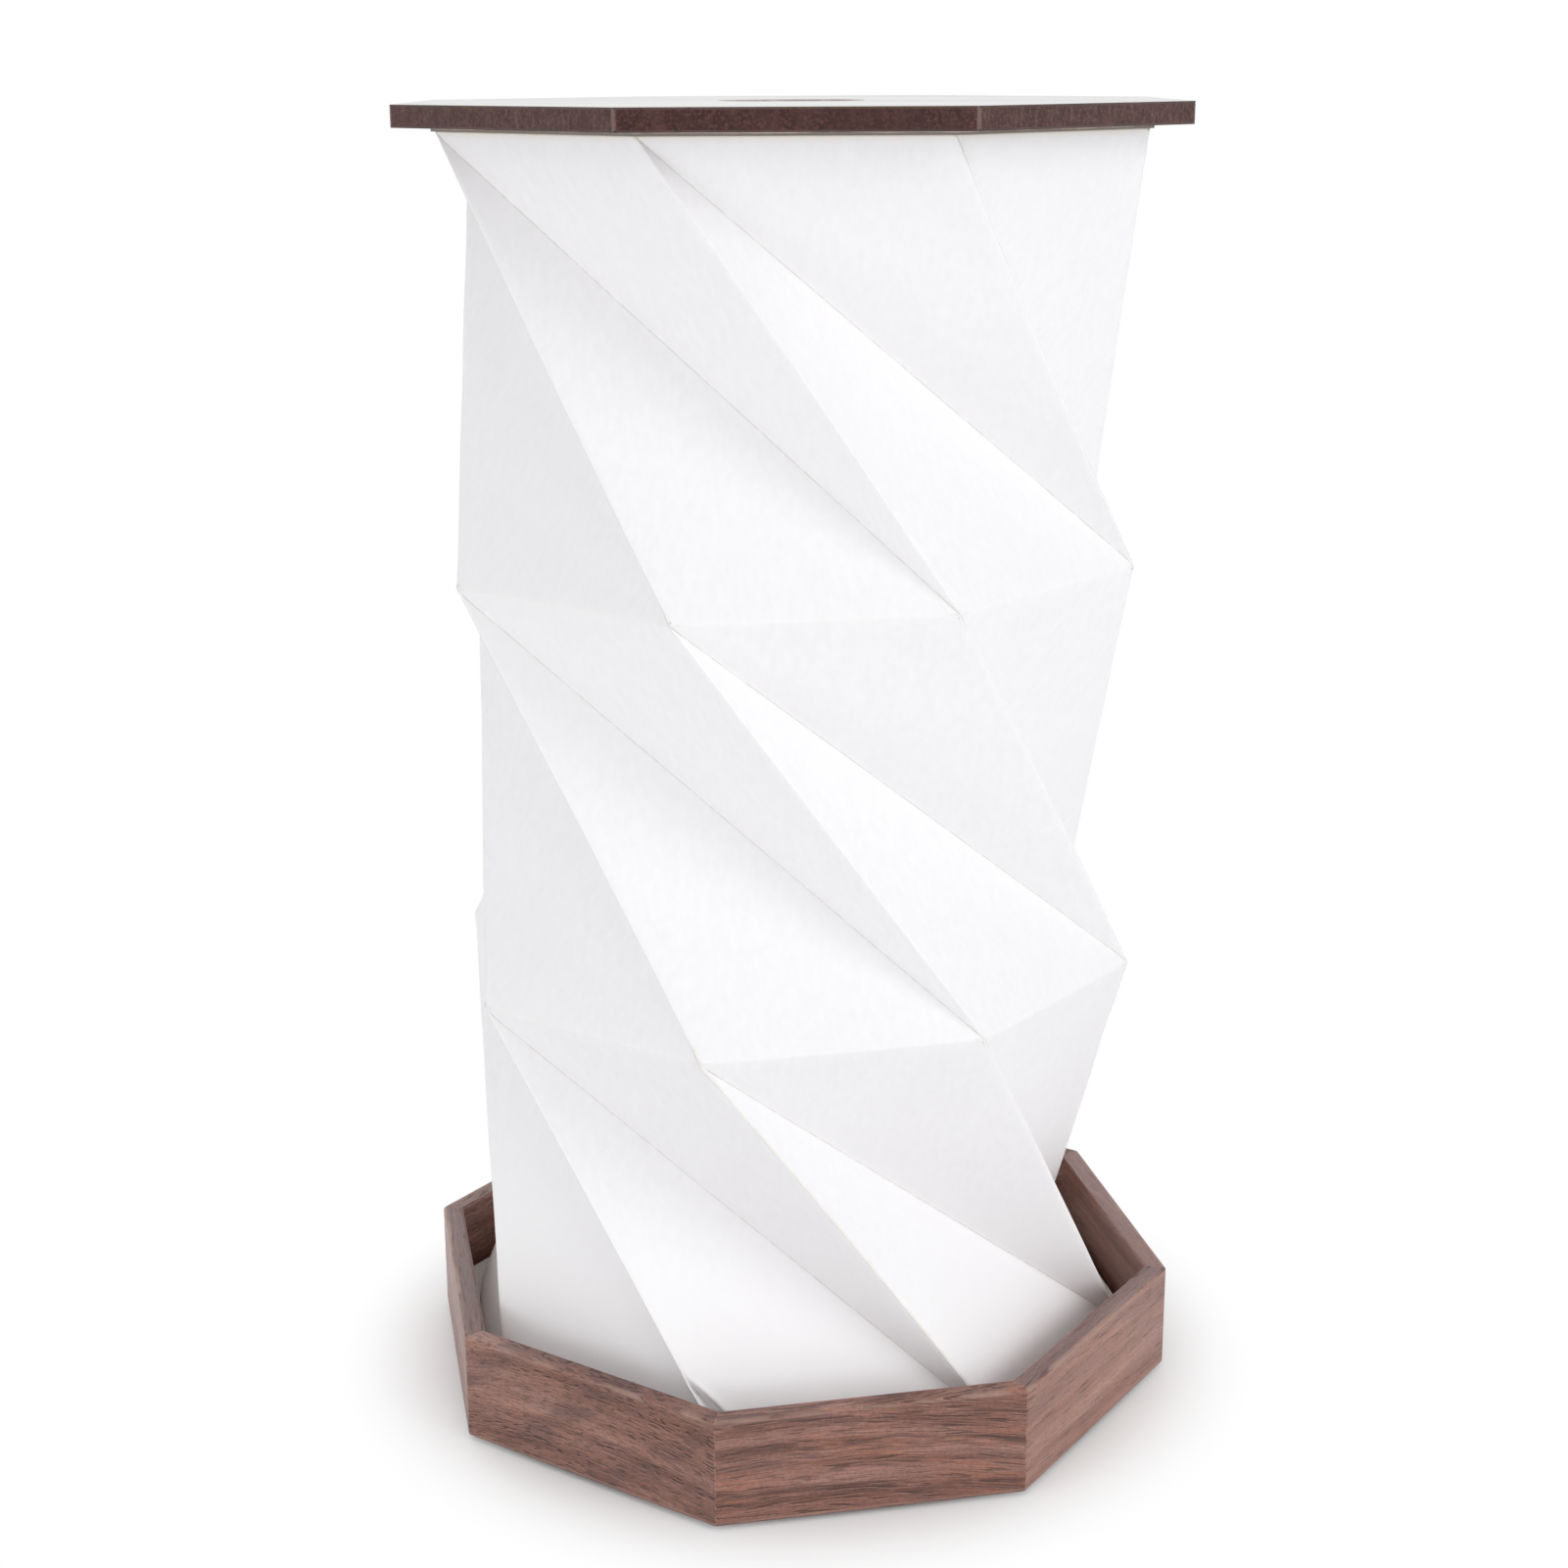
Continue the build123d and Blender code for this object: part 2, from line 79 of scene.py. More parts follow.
bpy.context.scene.camera = camera
bpy.context.scene.view_settings.view_transform = "Standard"
print("camera stands", round(eye.length, 3), "m from the foot of the lamp")

# %% [markdown]
# Every finish here is a small graph of nodes. The graphs could be wired one link at a time, but that hides
# what they do. These helpers add a node, fill its sockets with numbers or with other nodes' results, and
# return the result, so that a finish reads like a formula.

# %% Helpers for nodes
def new_finish(name):
    material = bpy.data.materials.new(name)
    material.use_nodes = True
    return material, material.node_tree, material.node_tree.nodes["Principled BSDF"]


def fill(tree, socket, value):
    if isinstance(value, bpy.types.NodeSocket):
        tree.links.new(value, socket)
    else:
        socket.default_value = value


def add(tree, kind, result=0, options=None, **values):
    made = tree.nodes.new("ShaderNode" + kind)
    for name, value in (options or {}).items():
        setattr(made, name, value)
    for name, value in values.items():
        fill(tree, made.inputs[name.replace("_", " ")], value)
    return made.outputs[result]


def sums(tree, operation, *values):
    made = tree.nodes.new("ShaderNodeMath")
    made.operation = operation
    for socket, value in zip(made.inputs, values):
        fill(tree, socket, value)
    return made.outputs[0]


def tint(tree, share, first, second, how="MIX"):
    made = tree.nodes.new("ShaderNodeMix")
    made.data_type = "RGBA"
    made.blend_type = how
    fill(tree, made.inputs[0], share)
    fill(tree, made.inputs[6], first)
    fill(tree, made.inputs[7], second)
    return made.outputs[2]


def ramp(tree, value, *stops):
    made = tree.nodes.new("ShaderNodeValToRGB")
    fill(tree, made.inputs[0], value)
    line = made.color_ramp.elements
    while len(line) < len(stops):
        line.new(0.5)
    for element, (stop, colour) in zip(line, stops):
        element.position = stop
        element.color = colour
    return made.outputs[0]


def dress(piece, material):
    piece.data.materials.clear()
    piece.data.materials.append(material)


print("node helpers ready")

# %% [markdown]
# A finish also needs to know where it is. Unwrapping each piece could tell it, but the lamp's own metres do
# so already, on every piece and through the wood. These helpers stretch a noise, turn a distance into a
# soft share, draw a thin line at a distance, and measure how far a place is from the lamp's middle line.

# %% Helpers for places
def spread(tree, value, low, high, to_low=0.0, to_high=1.0):
    return add(tree, "MapRange", options={"interpolation_type": "SMOOTHSTEP"}, Value=value,
               From_Min=low, From_Max=high, To_Min=to_low, To_Max=to_high)


def line_at(tree, value, middle, solid, faint, share):
    gap = sums(tree, "ABSOLUTE", sums(tree, "SUBTRACT", value, middle))
    return spread(tree, gap, solid, faint, share, 0.0)


def split(tree, vector):
    made = tree.nodes.new("ShaderNodeSeparateXYZ")
    tree.links.new(vector, made.inputs[0])
    return made.outputs


def off_middle(tree, place):
    level = add(tree, "Mapping", Vector=place, Scale=(1, 1, 0))
    return add(tree, "VectorMath", result="Value", options={"operation": "LENGTH"}, Vector=level)


def stretched_noise(tree, place, scale, detail=2.0, roughness=0.55, distortion=0.0):
    fitted = add(tree, "Mapping", Vector=place, Scale=scale)
    return add(tree, "TexNoise", Vector=fitted, Scale=1.0, Detail=detail, Roughness=roughness,
               Distortion=distortion)


def relief(tree, shader, height, strength, depth):
    normal = add(tree, "Bump", Height=height, Strength=strength, Distance=depth)
    tree.links.new(normal, shader.inputs["Normal"])


print("place helpers ready")

# %% [markdown]
# The tray's boards are solid walnut with an oiled surface. An image of walnut would repeat and stretch, and
# would not run through the wood. So the grain is a field in space, turned to each board. Its layers run
# along the board, rise and curl, wander a little, and lean into the board as growth rings do, so that the
# rim shows the same rings as the face below it.

# %% Grain of a board
tray_low, tray_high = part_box("tray_side_front")
board_face = -tray_low.y
ring_lean = 0.55
wander_reach = 3.4 * mm
seed_steps = (0.31, 0.17, 0.23)


def board_grain(tree, heading, seed, slope, curl):
    place = add(tree, "TexCoord", result="Object")
    turned = add(tree, "Mapping", Vector=place, Rotation=(0, 0, -heading))
    out, along, up = split(tree, turned)
    shift = [step * seed for step in seed_steps]
    shifted = add(tree, "Mapping", Vector=turned, Location=shift)
    wander = sums(tree, "SUBTRACT", stretched_noise(tree, shifted, (30, 22, 90), 3), 0.5)
    lift = sums(tree, "MULTIPLY_ADD", along, slope, up)
    lift = sums(tree, "MULTIPLY_ADD", sums(tree, "SUBTRACT", out, board_face), ring_lean, lift)
    lift = sums(tree, "MULTIPLY_ADD", sums(tree, "MULTIPLY", along, along), curl, lift)
    lift = sums(tree, "MULTIPLY_ADD", wander, wander_reach, lift)
    moved = [sums(tree, "ADD", part, step) for part, step in zip((out, along, lift), shift)]
    grain = add(tree, "CombineXYZ", X=moved[0], Y=moved[1], Z=moved[2])
    return place, (out, along, up), lift, wander, grain


print("board face from the middle in mm:", round(board_face / mm, 2))

# %% [markdown]
# Walnut has dark growth lines, and short open pores, each with a painted highlight on its lower lip. Two
# boards also have dark bands across them, as wood has near a branch. All of these could be carved, but at
# this size they are mostly colour. So each is a share that mixes one tone into the wood, and a coarser noise
# breaks it up.

# %% Marks in the grain
board_rise = 20 * mm
band_angle = math.radians(38)
band_pitch = 12.2 * mm
band_wander = 5.0
band_start = 0.31
lip_below = 0.14 * mm
growth_line_brown = (0.088, 0.036, 0.028, 1)
branch_band_brown = (0.098, 0.043, 0.037, 1)
pore_lip_highlight = (0.43, 0.25, 0.205, 1)
pore_black = (0.046, 0.016, 0.012, 1)


def growth_lines(tree, wood, lift, broken, lines):
    height = sums(tree, "DIVIDE", lift, board_rise)
    drawn = ramp(tree, height, *((stop, (depth, depth, depth, 1)) for stop, depth in lines))
    drawn = sums(tree, "MULTIPLY", drawn, spread(tree, broken, 0.36, 0.58))
    return tint(tree, drawn, wood, growth_line_brown)


def branch_bands(tree, wood, along, up, wander, broken, depth):
    rising = sums(tree, "MULTIPLY", up, math.cos(band_angle) * math.tau / band_pitch)
    across = sums(tree, "MULTIPLY_ADD", along, -math.sin(band_angle) * math.tau / band_pitch, rising)
    across = sums(tree, "MULTIPLY_ADD", wander, band_wander, across)
    wave = sums(tree, "COSINE", sums(tree, "ADD", across, band_start))
    banded = spread(tree, wave, 0.1, 1.0, 0.0, depth)
    banded = sums(tree, "MULTIPLY", banded, spread(tree, broken, 0.30, 0.62))
    return tint(tree, banded, wood, branch_band_brown)


def open_pores(tree, wood, grain, streak, dash, dashes, sparse):
    pore_size = (1500, dash, 2900)
    pores = stretched_noise(tree, grain, pore_size, 1, 0.5)
    lower = add(tree, "Mapping", Vector=grain, Location=(0, 0, lip_below))
    lips = stretched_noise(tree, lower, pore_size, 1, 0.5)
    thick = spread(tree, streak, 0.62, 0.38, 0.45, 1.0)
    pore_share = spread(tree, pores, 0.545 + sparse, 0.64 + sparse, 0.0, dashes)
    pore_share = sums(tree, "MULTIPLY", thick, pore_share)
    # painted highlight: a pale lip just below each pore
    lip_highlight_share = spread(tree, lips, 0.56 + sparse, 0.67 + sparse, 0.0, 0.5 * dashes)
    lip_highlight_share = sums(tree, "MULTIPLY", thick, lip_highlight_share)
    wood = tint(tree, lip_highlight_share, wood, pore_lip_highlight)
    return tint(tree, pore_share, wood, pore_black), pore_share


print("marks ready, pitch of the bands in mm:", band_pitch / mm)

# %% [markdown]
# The edges of a board tell how it was made, and how light falls on it. The mitres show a fine dotted line
# of glue, the outer top edge gets a painted highlight, and along the foot a painted highlight runs above a
# painted shadow line. Each could be a thin piece of its own, but distances to the mitre, to the top edge
# and to the foot are enough to place them as colour. The rim's upward faces get a tone of their own on
# each board, which is painted light and shade that differs from side to side.

# %% Edges of a board
half_mitre = math.tan(math.pi / 8)
rim_height = tray_high.z
foot_edge = tray_low.z
glue_tan = (0.40, 0.27, 0.22, 1)
arris_highlight_tan = (0.40, 0.26, 0.21, 1)
foot_highlight_tan = (0.36, 0.225, 0.18, 1)
foot_shadow_dark = (0.045, 0.024, 0.022, 1)


def board_edges(tree, wood, place, sides, broken, rim):
    out, along, up = sides
    facing_up = split(tree, add(tree, "TexCoord", result="Normal"))[2]
    # painted light and shade: each board's upward rim faces are tinted by that board's own multiplier
    wood = tint(tree, spread(tree, facing_up, 0.6, 0.95), wood, (*rim, 1), "MULTIPLY")
    half_board = sums(tree, "MULTIPLY", out, half_mitre)
    to_mitre = sums(tree, "SUBTRACT", half_board, sums(tree, "ABSOLUTE", along))
    flecks = spread(tree, stretched_noise(tree, place, (900, 900, 1300), 1), 0.46, 0.60)
    glue = spread(tree, to_mitre, 0.04 * mm, 0.17 * mm, 0.55, 0.0)
    wood = tint(tree, sums(tree, "MULTIPLY", glue, flecks), wood, glue_tan)
    below_rim = sums(tree, "SUBTRACT", up, rim_height)
    to_arris = sums(tree, "ADD", sums(tree, "SUBTRACT", out, board_face), below_rim)
    # painted highlight along the outer top edge
    arris_highlight = spread(tree, to_arris, -0.9 * mm, -0.3 * mm, 0.0, 0.6)
    arris_highlight = sums(tree, "MULTIPLY", arris_highlight, spread(tree, broken, 0.40, 0.60))
    wood = tint(tree, arris_highlight, wood, arris_highlight_tan)
    off_foot = sums(tree, "SUBTRACT", up, foot_edge)
    # painted highlight just above the foot, then a painted shadow line at the foot
    wood = tint(tree, line_at(tree, off_foot, 0.55 * mm, 0.08 * mm, 0.26 * mm, 0.4), wood, foot_highlight_tan)
    return tint(tree, spread(tree, off_foot, 0.14 * mm, 0.36 * mm, 0.65, 0.0), wood, foot_shadow_dark)


print("edges ready, rim height in mm:", round(rim_height / mm, 2))

# %% [markdown]
# The wood itself has broad streaks of four tones, patches that are cooler or warmer, fine fibres and a
# sanded grit, whose pale, cool specks are painted glints. The oil shines a little, and the pores are dull
# and sunk, so gloss and relief follow the same noises as the colour. Painting them apart would let them
# drift from each other.

# %% Oiled walnut
walnut_tones = ((0.27, 0.118, 0.043, 0.031), (0.44, 0.210, 0.094, 0.070), (0.58, 0.276, 0.136, 0.106),
                (0.74, 0.370, 0.203, 0.166))
patch_tones = ((0.37, (0.94, 0.99, 1.08, 1)), (0.5, (1.0, 1.0, 1.0, 1)), (0.63, (1.12, 1.01, 0.84, 1)))
fibre_tones = ((0.25, (0.82, 0.81, 0.80, 1)), (0.75, (1.15, 1.16, 1.16, 1)))
grit_glint_tones = ((0.28, (0.80, 0.75, 0.73, 1)), (0.72, (1.20, 1.27, 1.31, 1)))
right_sheen_tan = (0.305, 0.180, 0.156, 1)


def walnut(name, heading, seed, slope=0.0, curl=0.0, lines=(), bands=0.0, dash=330, dashes=0.6, sparse=0.0,
           warm=0.5, fade=0.0, tone=1.0, rim=(0.85, 0.86, 0.88)):
    material, tree, shader = new_finish(name)
    place, sides, lift, wander, grain = board_grain(tree, heading, seed, slope, curl)
    streak = stretched_noise(tree, grain, (120, 14, 330), 5, 0.7)
    broken = stretched_noise(tree, grain, (300, 75, 900), 3, 0.65)
    cloud = stretched_noise(tree, grain, (90, 60, 330), 3)
    fibre = stretched_noise(tree, grain, (1700, 150, 4200), 2, 0.65)
    # painted glints: the grit's pale, cool specks
    grit_glints = stretched_noise(tree, grain, (2600, 1700, 3000), 2, 0.7)
    wood = ramp(tree, streak, *((stop, (tone * red, tone * green, tone * blue, 1))
                                for stop, red, green, blue in walnut_tones))
    wood = tint(tree, warm, wood, ramp(tree, cloud, *patch_tones), "MULTIPLY")
    if lines:
        wood = growth_lines(tree, wood, lift, broken, lines)
    if bands:
        wood = branch_bands(tree, wood, sides[1], sides[2], wander, broken, bands)
    wood, pore_share = open_pores(tree, wood, grain, streak, dash, dashes, sparse)
    wood = tint(tree, 1.0, wood, ramp(tree, fibre, *fibre_tones), "MULTIPLY")
    wood = tint(tree, 1.0, wood, ramp(tree, grit_glints, *grit_glint_tones), "MULTIPLY")
    # painted sheen: a pale tan mixed into the boards at the right, where the light falls
    wood = tint(tree, fade, wood, right_sheen_tan)
    wood = board_edges(tree, wood, place, sides, broken, rim)
    tree.links.new(wood, shader.inputs["Base Color"])
    gloss = spread(tree, fibre, 0.3, 0.7, 0.30, 0.46)
    tree.links.new(sums(tree, "MULTIPLY_ADD", pore_share, 0.25, gloss), shader.inputs["Roughness"])
    shader.inputs["Specular IOR Level"].default_value = 0.45
    sunk = sums(tree, "SUBTRACT", 0.0, pore_share)
    relief(tree, shader, sums(tree, "MULTIPLY_ADD", fibre, 0.4, sunk), 0.6, 0.12 * mm)
    return material


print("walnut ready, tones:", len(walnut_tones))

# %% [markdown]
# Each board is another piece of wood. One finish for all of them would look printed, so a table gives each
# board its seed, the slope and curl of its grain, the length and number of its pores, its tone, a painted
# sheen on the boards at the right and the painted light and shade of its rim. The growth lines are pairs of
# a height on the board, from 0 to 1, and a depth of colour.

# %% Walnut boards
front_lines = ((0.0, 0.3), (0.14, 0.2), (0.25, 0.75), (0.285, 0.9), (0.33, 0.2), (0.40, 0.0), (0.46, 0.2),
               (0.50, 0.55), (0.56, 0.2), (0.655, 0.85), (0.68, 0.95), (0.705, 0.2), (0.74, 0.0),
               (0.80, 0.25), (0.87, 0.8), (0.90, 0.85), (0.95, 0.3))
back_lines = ((0.0, 0.2), (0.2, 0.7), (0.25, 0.1), (0.44, 0.1), (0.5, 0.8), (0.57, 0.2), (0.78, 0.1),
              (0.85, 0.9))
boards = {
    "right": dict(seed=3.1, slope=0.05, dash=190, dashes=0.55, sparse=0.04, warm=0.4, fade=0.2,
                  rim=(0.96, 1.02, 1.12)),
    "back_right": dict(seed=5.7, slope=-0.06, curl=1.5, lines=back_lines, dash=260, dashes=0.6, warm=0.5),
    "back": dict(seed=8.3, slope=0.03, lines=back_lines, dash=170, dashes=0.6, warm=0.6),
    "back_left": dict(seed=11.9, slope=0.08, curl=-2.0, bands=0.4, dash=380, dashes=0.65, warm=0.45),
    "left": dict(seed=14.2, slope=-0.04, dash=190, dashes=0.55, sparse=0.03, warm=0.4, tone=0.98,
                 rim=(0.48, 0.45, 0.47)),
    "front_left": dict(seed=17.6, slope=0.01, curl=3.7, bands=0.62, dash=470, dashes=0.85, sparse=-0.03,
                       warm=0.5, rim=(0.86, 0.81, 0.80)),
    "front": dict(seed=21.4, slope=0.065, curl=1.9, lines=front_lines, dash=165, dashes=0.8, sparse=-0.01,
                  warm=0.7, tone=1.18, rim=(1.08, 1.08, 1.05)),
    "front_right": dict(seed=26.8, slope=0.02, dash=170, dashes=0.75, sparse=0.045, warm=0.5, fade=0.12,
                        tone=1.18, rim=(0.67, 0.76, 0.89)),
}
for turn, (side, look) in enumerate(boards.items()):
    dress(solids["tray_side_" + side], walnut("walnut_" + side, turn * math.pi / 4, **look))
print("walnut boards finished:", len(boards))

# %% [markdown]
# The lid is a dark stained board between two thin veneers. Its edge is sanded and stained, so it shows a
# fine speckle. The faces that turn away from the front get a paler, greyer speckle, a painted sheen, so the
# finish asks which way each face looks. The upright corners are made paler. They could be painted by hand,
# but they are simply the places that are furthest from the lamp's middle line, so the distance from that
# line is mask enough.

# %% Stained edge of the lid
lid_corner = max(math.hypot(point.co.x, point.co.y) for point in solids["lid_core"].data.vertices)
lid_front = math.radians(259.2)
stain_speckle = ((0.30, (0.019, 0.0052, 0.0040, 1)), (0.50, (0.043, 0.0128, 0.0104, 1)),
                 (0.70, (0.122, 0.050, 0.042, 1)))
side_sheen_speckle = ((0.32, (0.066, 0.036, 0.032, 1)), (0.68, (0.225, 0.140, 0.128, 1)))
saw_mark_brown = (0.086, 0.036, 0.031, 1)
stain_cloud_brown = (0.040, 0.0130, 0.0108, 1)
pale_corner_tan = (0.26, 0.175, 0.158, 1)


def stained_edge(name):
    material, tree, shader = new_finish(name)
    place = add(tree, "TexCoord", result="Object")
    speck = stretched_noise(tree, place, (2300, 2300, 2300), 3, 0.7)
    saw = stretched_noise(tree, place, (520, 520, 160), 3, 0.6)
    cloud = stretched_noise(tree, place, (75, 75, 110), 3)
    rings = stretched_noise(tree, place, (1500, 1500, 500), 3, 0.7)
    stain = ramp(tree, speck, *stain_speckle)
    stain = tint(tree, spread(tree, saw, 0.45, 0.70, 0.0, 0.5), stain, saw_mark_brown)
    stain = tint(tree, spread(tree, cloud, 0.48, 0.72, 0.0, 0.5), stain, stain_cloud_brown)
    facing = add(tree, "TexCoord", result="Normal")
    toward_front = add(tree, "VectorMath", result="Value", options={"operation": "DOT_PRODUCT"}, Vector=facing)
    toward_front.node.inputs[1].default_value = (math.cos(lid_front), math.sin(lid_front), 0)
    # painted sheen: faces turned from the front get a paler, greyer speckle
    turned_from_front = spread(tree, sums(tree, "ABSOLUTE", toward_front), 0.98, 0.6)
    side_sheen_rings = sums(tree, "MULTIPLY", spread(tree, rings, 0.42, 0.66, 0.25, 1.0), 0.6)
    side_sheen_share = sums(tree, "MULTIPLY", turned_from_front, side_sheen_rings)
    stain = tint(tree, side_sheen_share, stain, ramp(tree, speck, *side_sheen_speckle))
    # the upright corners are made paler
    jitter = sums(tree, "SUBTRACT", speck, 0.5)
    ragged = sums(tree, "MULTIPLY_ADD", jitter, 0.16 * mm, off_middle(tree, place))
    worn = spread(tree, ragged, lid_corner - 0.17 * mm, lid_corner, 0.0, 0.5)
    stain = tint(tree, worn, stain, pale_corner_tan)
    tree.links.new(stain, shader.inputs["Base Color"])
    tree.links.new(spread(tree, speck, 0.3, 0.7, 0.40, 0.62), shader.inputs["Roughness"])
    shader.inputs["Specular IOR Level"].default_value = 0.28
    relief(tree, shader, sums(tree, "MULTIPLY_ADD", saw, 0.5, speck), 0.4, 0.08 * mm)
    return material


dress(solids["lid_core"], stained_edge("lid_core_stain"))
print("lid edge finished, corner radius in mm:", round(lid_corner / mm, 2))

# %% [markdown]
# The veneers are dark, with a smooth lacquer. Seen almost along the surface, as here, lacquer mirrors the
# room and looks nearly white. A pale paint would look white from above too, so the wood stays dark and the
# gloss does the work. The round inlay has its grain turned across the lid's, and a pale line of painted
# light along its edge.

# %% Lacquered veneers
inlay_low, inlay_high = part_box("lid_inlay")
inlay_radius = 0.5 * (inlay_high.x - inlay_low.x)
lid_grain = 0.4
veneer_tones = ((0.28, (0.034, 0.016, 0.013)), (0.5, (0.064, 0.031, 0.026)), (0.74, (0.108, 0.056, 0.046)))
veneer_pore_brown = (0.018, 0.009, 0.008, 1)
inlay_edge_light = (0.72, 0.67, 0.65, 1)


def lacquered_veneer(name, heading, seed, pale, edge_light=0.0):
    material, tree, shader = new_finish(name)
    place = add(tree, "TexCoord", result="Object")
    turned = add(tree, "Mapping", Vector=place, Rotation=(0, 0, heading), Location=(seed, 0.7 * seed, 0))
    streak = stretched_noise(tree, turned, (9, 210, 40), 4, 0.62, 0.6)
    pores = stretched_noise(tree, turned, (190, 2400, 400), 1.5)
    cloud = stretched_noise(tree, turned, (14, 40, 10), 2)
    tones = [(stop, (*(part * pale for part in colour), 1)) for stop, colour in veneer_tones]
    light = tones[-1][1]
    wood = ramp(tree, streak, *tones)
    wood = tint(tree, spread(tree, cloud, 0.5, 0.8, 0.0, 0.4), wood, light)
    pore_share = spread(tree, pores, 0.6, 0.7, 0.0, 0.7)
    wood = tint(tree, pore_share, wood, veneer_pore_brown)
    # painted light: a pale line along the inlay's edge, over the shade of its groove
    inlay_edge_lit = line_at(tree, off_middle(tree, place), inlay_radius, 0.05 * mm, 0.25 * mm, edge_light)
    wood = tint(tree, inlay_edge_lit, wood, inlay_edge_light)
    tree.links.new(wood, shader.inputs["Base Color"])
    tree.links.new(spread(tree, streak, 0.3, 0.7, 0.06, 0.11), shader.inputs["Roughness"])
    relief(tree, shader, sums(tree, "SUBTRACT", streak, pore_share), 0.1, 0.01 * mm)
    return material


dress(solids["lid_top_veneer"], lacquered_veneer("lid_top_lacquer", lid_grain, 1.3, 1.0, 1.0))
dress(solids["lid_bottom_veneer"], lacquered_veneer("lid_bottom_lacquer", lid_grain, 4.1, 0.85))
dress(solids["lid_inlay"], lacquered_veneer("lid_inlay_lacquer", lid_grain + math.pi / 2, 7.2, 1.5, 0.5))
print("veneers finished, inlay radius in mm:", round(inlay_radius / mm, 2))

# %% [markdown]
# The shade is one white sheet, folded so that each tier turns as the lamp opens. Its creases join the
# corners of four eight-sided rings. A corner of real paper never sits exactly on its ring, so some corners
# are pulled by a few millimetres at most, as far as the picture shows it, and the unseen ones by small
# seeded amounts. The room behind the boards of the shut lamp limits how far a corner may stand out.

# %% Corners of the folded sheet
shade_low, shade_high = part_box("shade")
tier_count = 3
side_count = 8
tier_turn = math.radians(48.6)
tier_rise = (shade_high.z - shade_low.z) / tier_count
ring_radius = max(math.hypot(point.co.x, point.co.y) for point in solids["shade"].data.vertices)
corner_pulls = {
    (2, 6): (-0.65, -0.16, -1.02), (2, 0): (-1.64, 0.31, -0.04), (2, 1): (-0.92, 0.33, 0.50),
    (1, 5): (-0.22, -0.36, -1.40), (1, 6): (0.21, -0.24, -0.71), (1, 7): (0.03, 0.19, 0.69),
    (1, 0): (-0.22, 0.17, 0.45), (0, 6): (1.38, -0.35, 0.0), (0, 7): (0.84, 0.01, 0.0),
    (0, 4): (-0.9, 1.6, 0.0), (0, 3): (-1.3, -3.2, 0.0),
}
unseen_pull = 0.45
board_back = -tray_high.y
shut_turn = math.radians(124.2)
shut_clearance = 0.15 * mm
corner_draw = np.random.default_rng(12)


def shut_reach(place):
    angle = math.atan2(place[1], place[0]) - shut_turn
    off_board = (angle + math.pi / side_count) % (math.tau / side_count) - math.pi / side_count
    return board_back / math.cos(off_board) - shut_clearance


def ring_corner(level, index):
    angle = math.pi / side_count - level * tier_turn + index * math.tau / side_count
    place = np.array((ring_radius * math.cos(angle), ring_radius * math.sin(angle),
                      shade_low.z + level * tier_rise))
    loose = corner_draw.normal(0, unseen_pull, 3) if level in (1, 2) else np.zeros(3)
    place = place + mm * np.array(corner_pulls.get((level, index), loose))
    place[:2] *= min(1, shut_reach(place) / math.hypot(place[0], place[1]))
    return place


rings = [[ring_corner(level, index) for index in range(side_count)] for level in range(tier_count + 1)]
print("ring corners:", sum(len(ring) for ring in rings), "tier rise in mm:", round(tier_rise / mm, 1))

# %% [markdown]
# Each tier has eight pairs of triangles: one stands on the lower ring, the other hangs from the upper ring,
# with a valley between them and ridges on either side. A flat triangle would look like cut card, so each
# becomes a fan of small faces. An even grid would need far too many of them to round a fold, so the rows
# and columns crowd towards the creases. Three sizes of noise give the ripples of a sheet under tension and
# the dents at its corners.

# %% Rows, columns and ripples
def both_ends(half):
    return np.array(half + [1 - value for value in reversed(half[:-1])])


across_steps = both_ends([0, 0.006, 0.014, 0.028, 0.055, 0.1, 0.16, 0.23, 0.31, 0.4, 0.5])
along_steps = both_ends([0, 0.004, 0.01, 0.02, 0.04, 0.07, 0.11, 0.16, 0.22, 0.28, 0.35, 0.42, 0.5])
ripple_layers = ((60, (0, 0, 0)), (170, (5, 3, 9)), (520, (2, 8, 4)))


def from_line(points, start, end):
    way = (end - start) / np.linalg.norm(end - start)
    return np.linalg.norm(np.cross(points - start, way), axis=-1)


def ripples(points):
    layers = []
    for scale, shift in ripple_layers:
        layer = [noise.noise(Vector(point) * scale + Vector(shift)) for point in points.reshape(-1, 3)]
        layers.append(np.array(layer).reshape(points.shape[:-1]))
    return layers


def ease(value, low, high):
    part = np.clip((value - low) / (high - low), 0, 1)
    return part * part * (3 - 2 * part)


print("points on a plain facet:", across_steps.size * along_steps.size)

# %% [markdown]
# The sheet is closed by one glued seam, which runs down a ridge. At its lower end the lap has opened and
# lets the free edge stand off. A second strip of paper could show that, but it would end abruptly. So the
# facet there gets closer rows and columns, and its points are pushed in along a curve that widens
# downwards, beside a low lip.

# %% Opened lap
seam_side = 5
seam_top = 11.9 * mm
seam_across = np.concatenate((np.arange(0, 0.12, 0.006), across_steps[across_steps > 0.13]))
low_along = np.concatenate((along_steps[along_steps < 0.7], np.arange(0.72, 0.98, 0.011),
                            along_steps[along_steps >= 0.98]))
lap_width = 0.82 * mm
lap_curve = 0.75
lap_depth = 1.9
lap_lip = 0.25


def open_lap(ridge_gap, height):
    width = lap_width * (np.clip(seam_top - height, 1e-9, 1) / mm) ** lap_curve
    part = ridge_gap / width
    fade = ease(height, seam_top, 9.5 * mm) * ease(height, 0.8 * mm, 3 * mm)
    hollow = ease(part, 0.22, 0.75) * ease(part, 1.12, 0.88)
    lifted = ease(part, 0.95, 1.15) * ease(part, 2.2, 1.3)
    return fade * (lap_lip * lifted - lap_depth * hollow)


print("columns beside the seam:", seam_across.size, "rows of the lowest tier:", low_along.size)

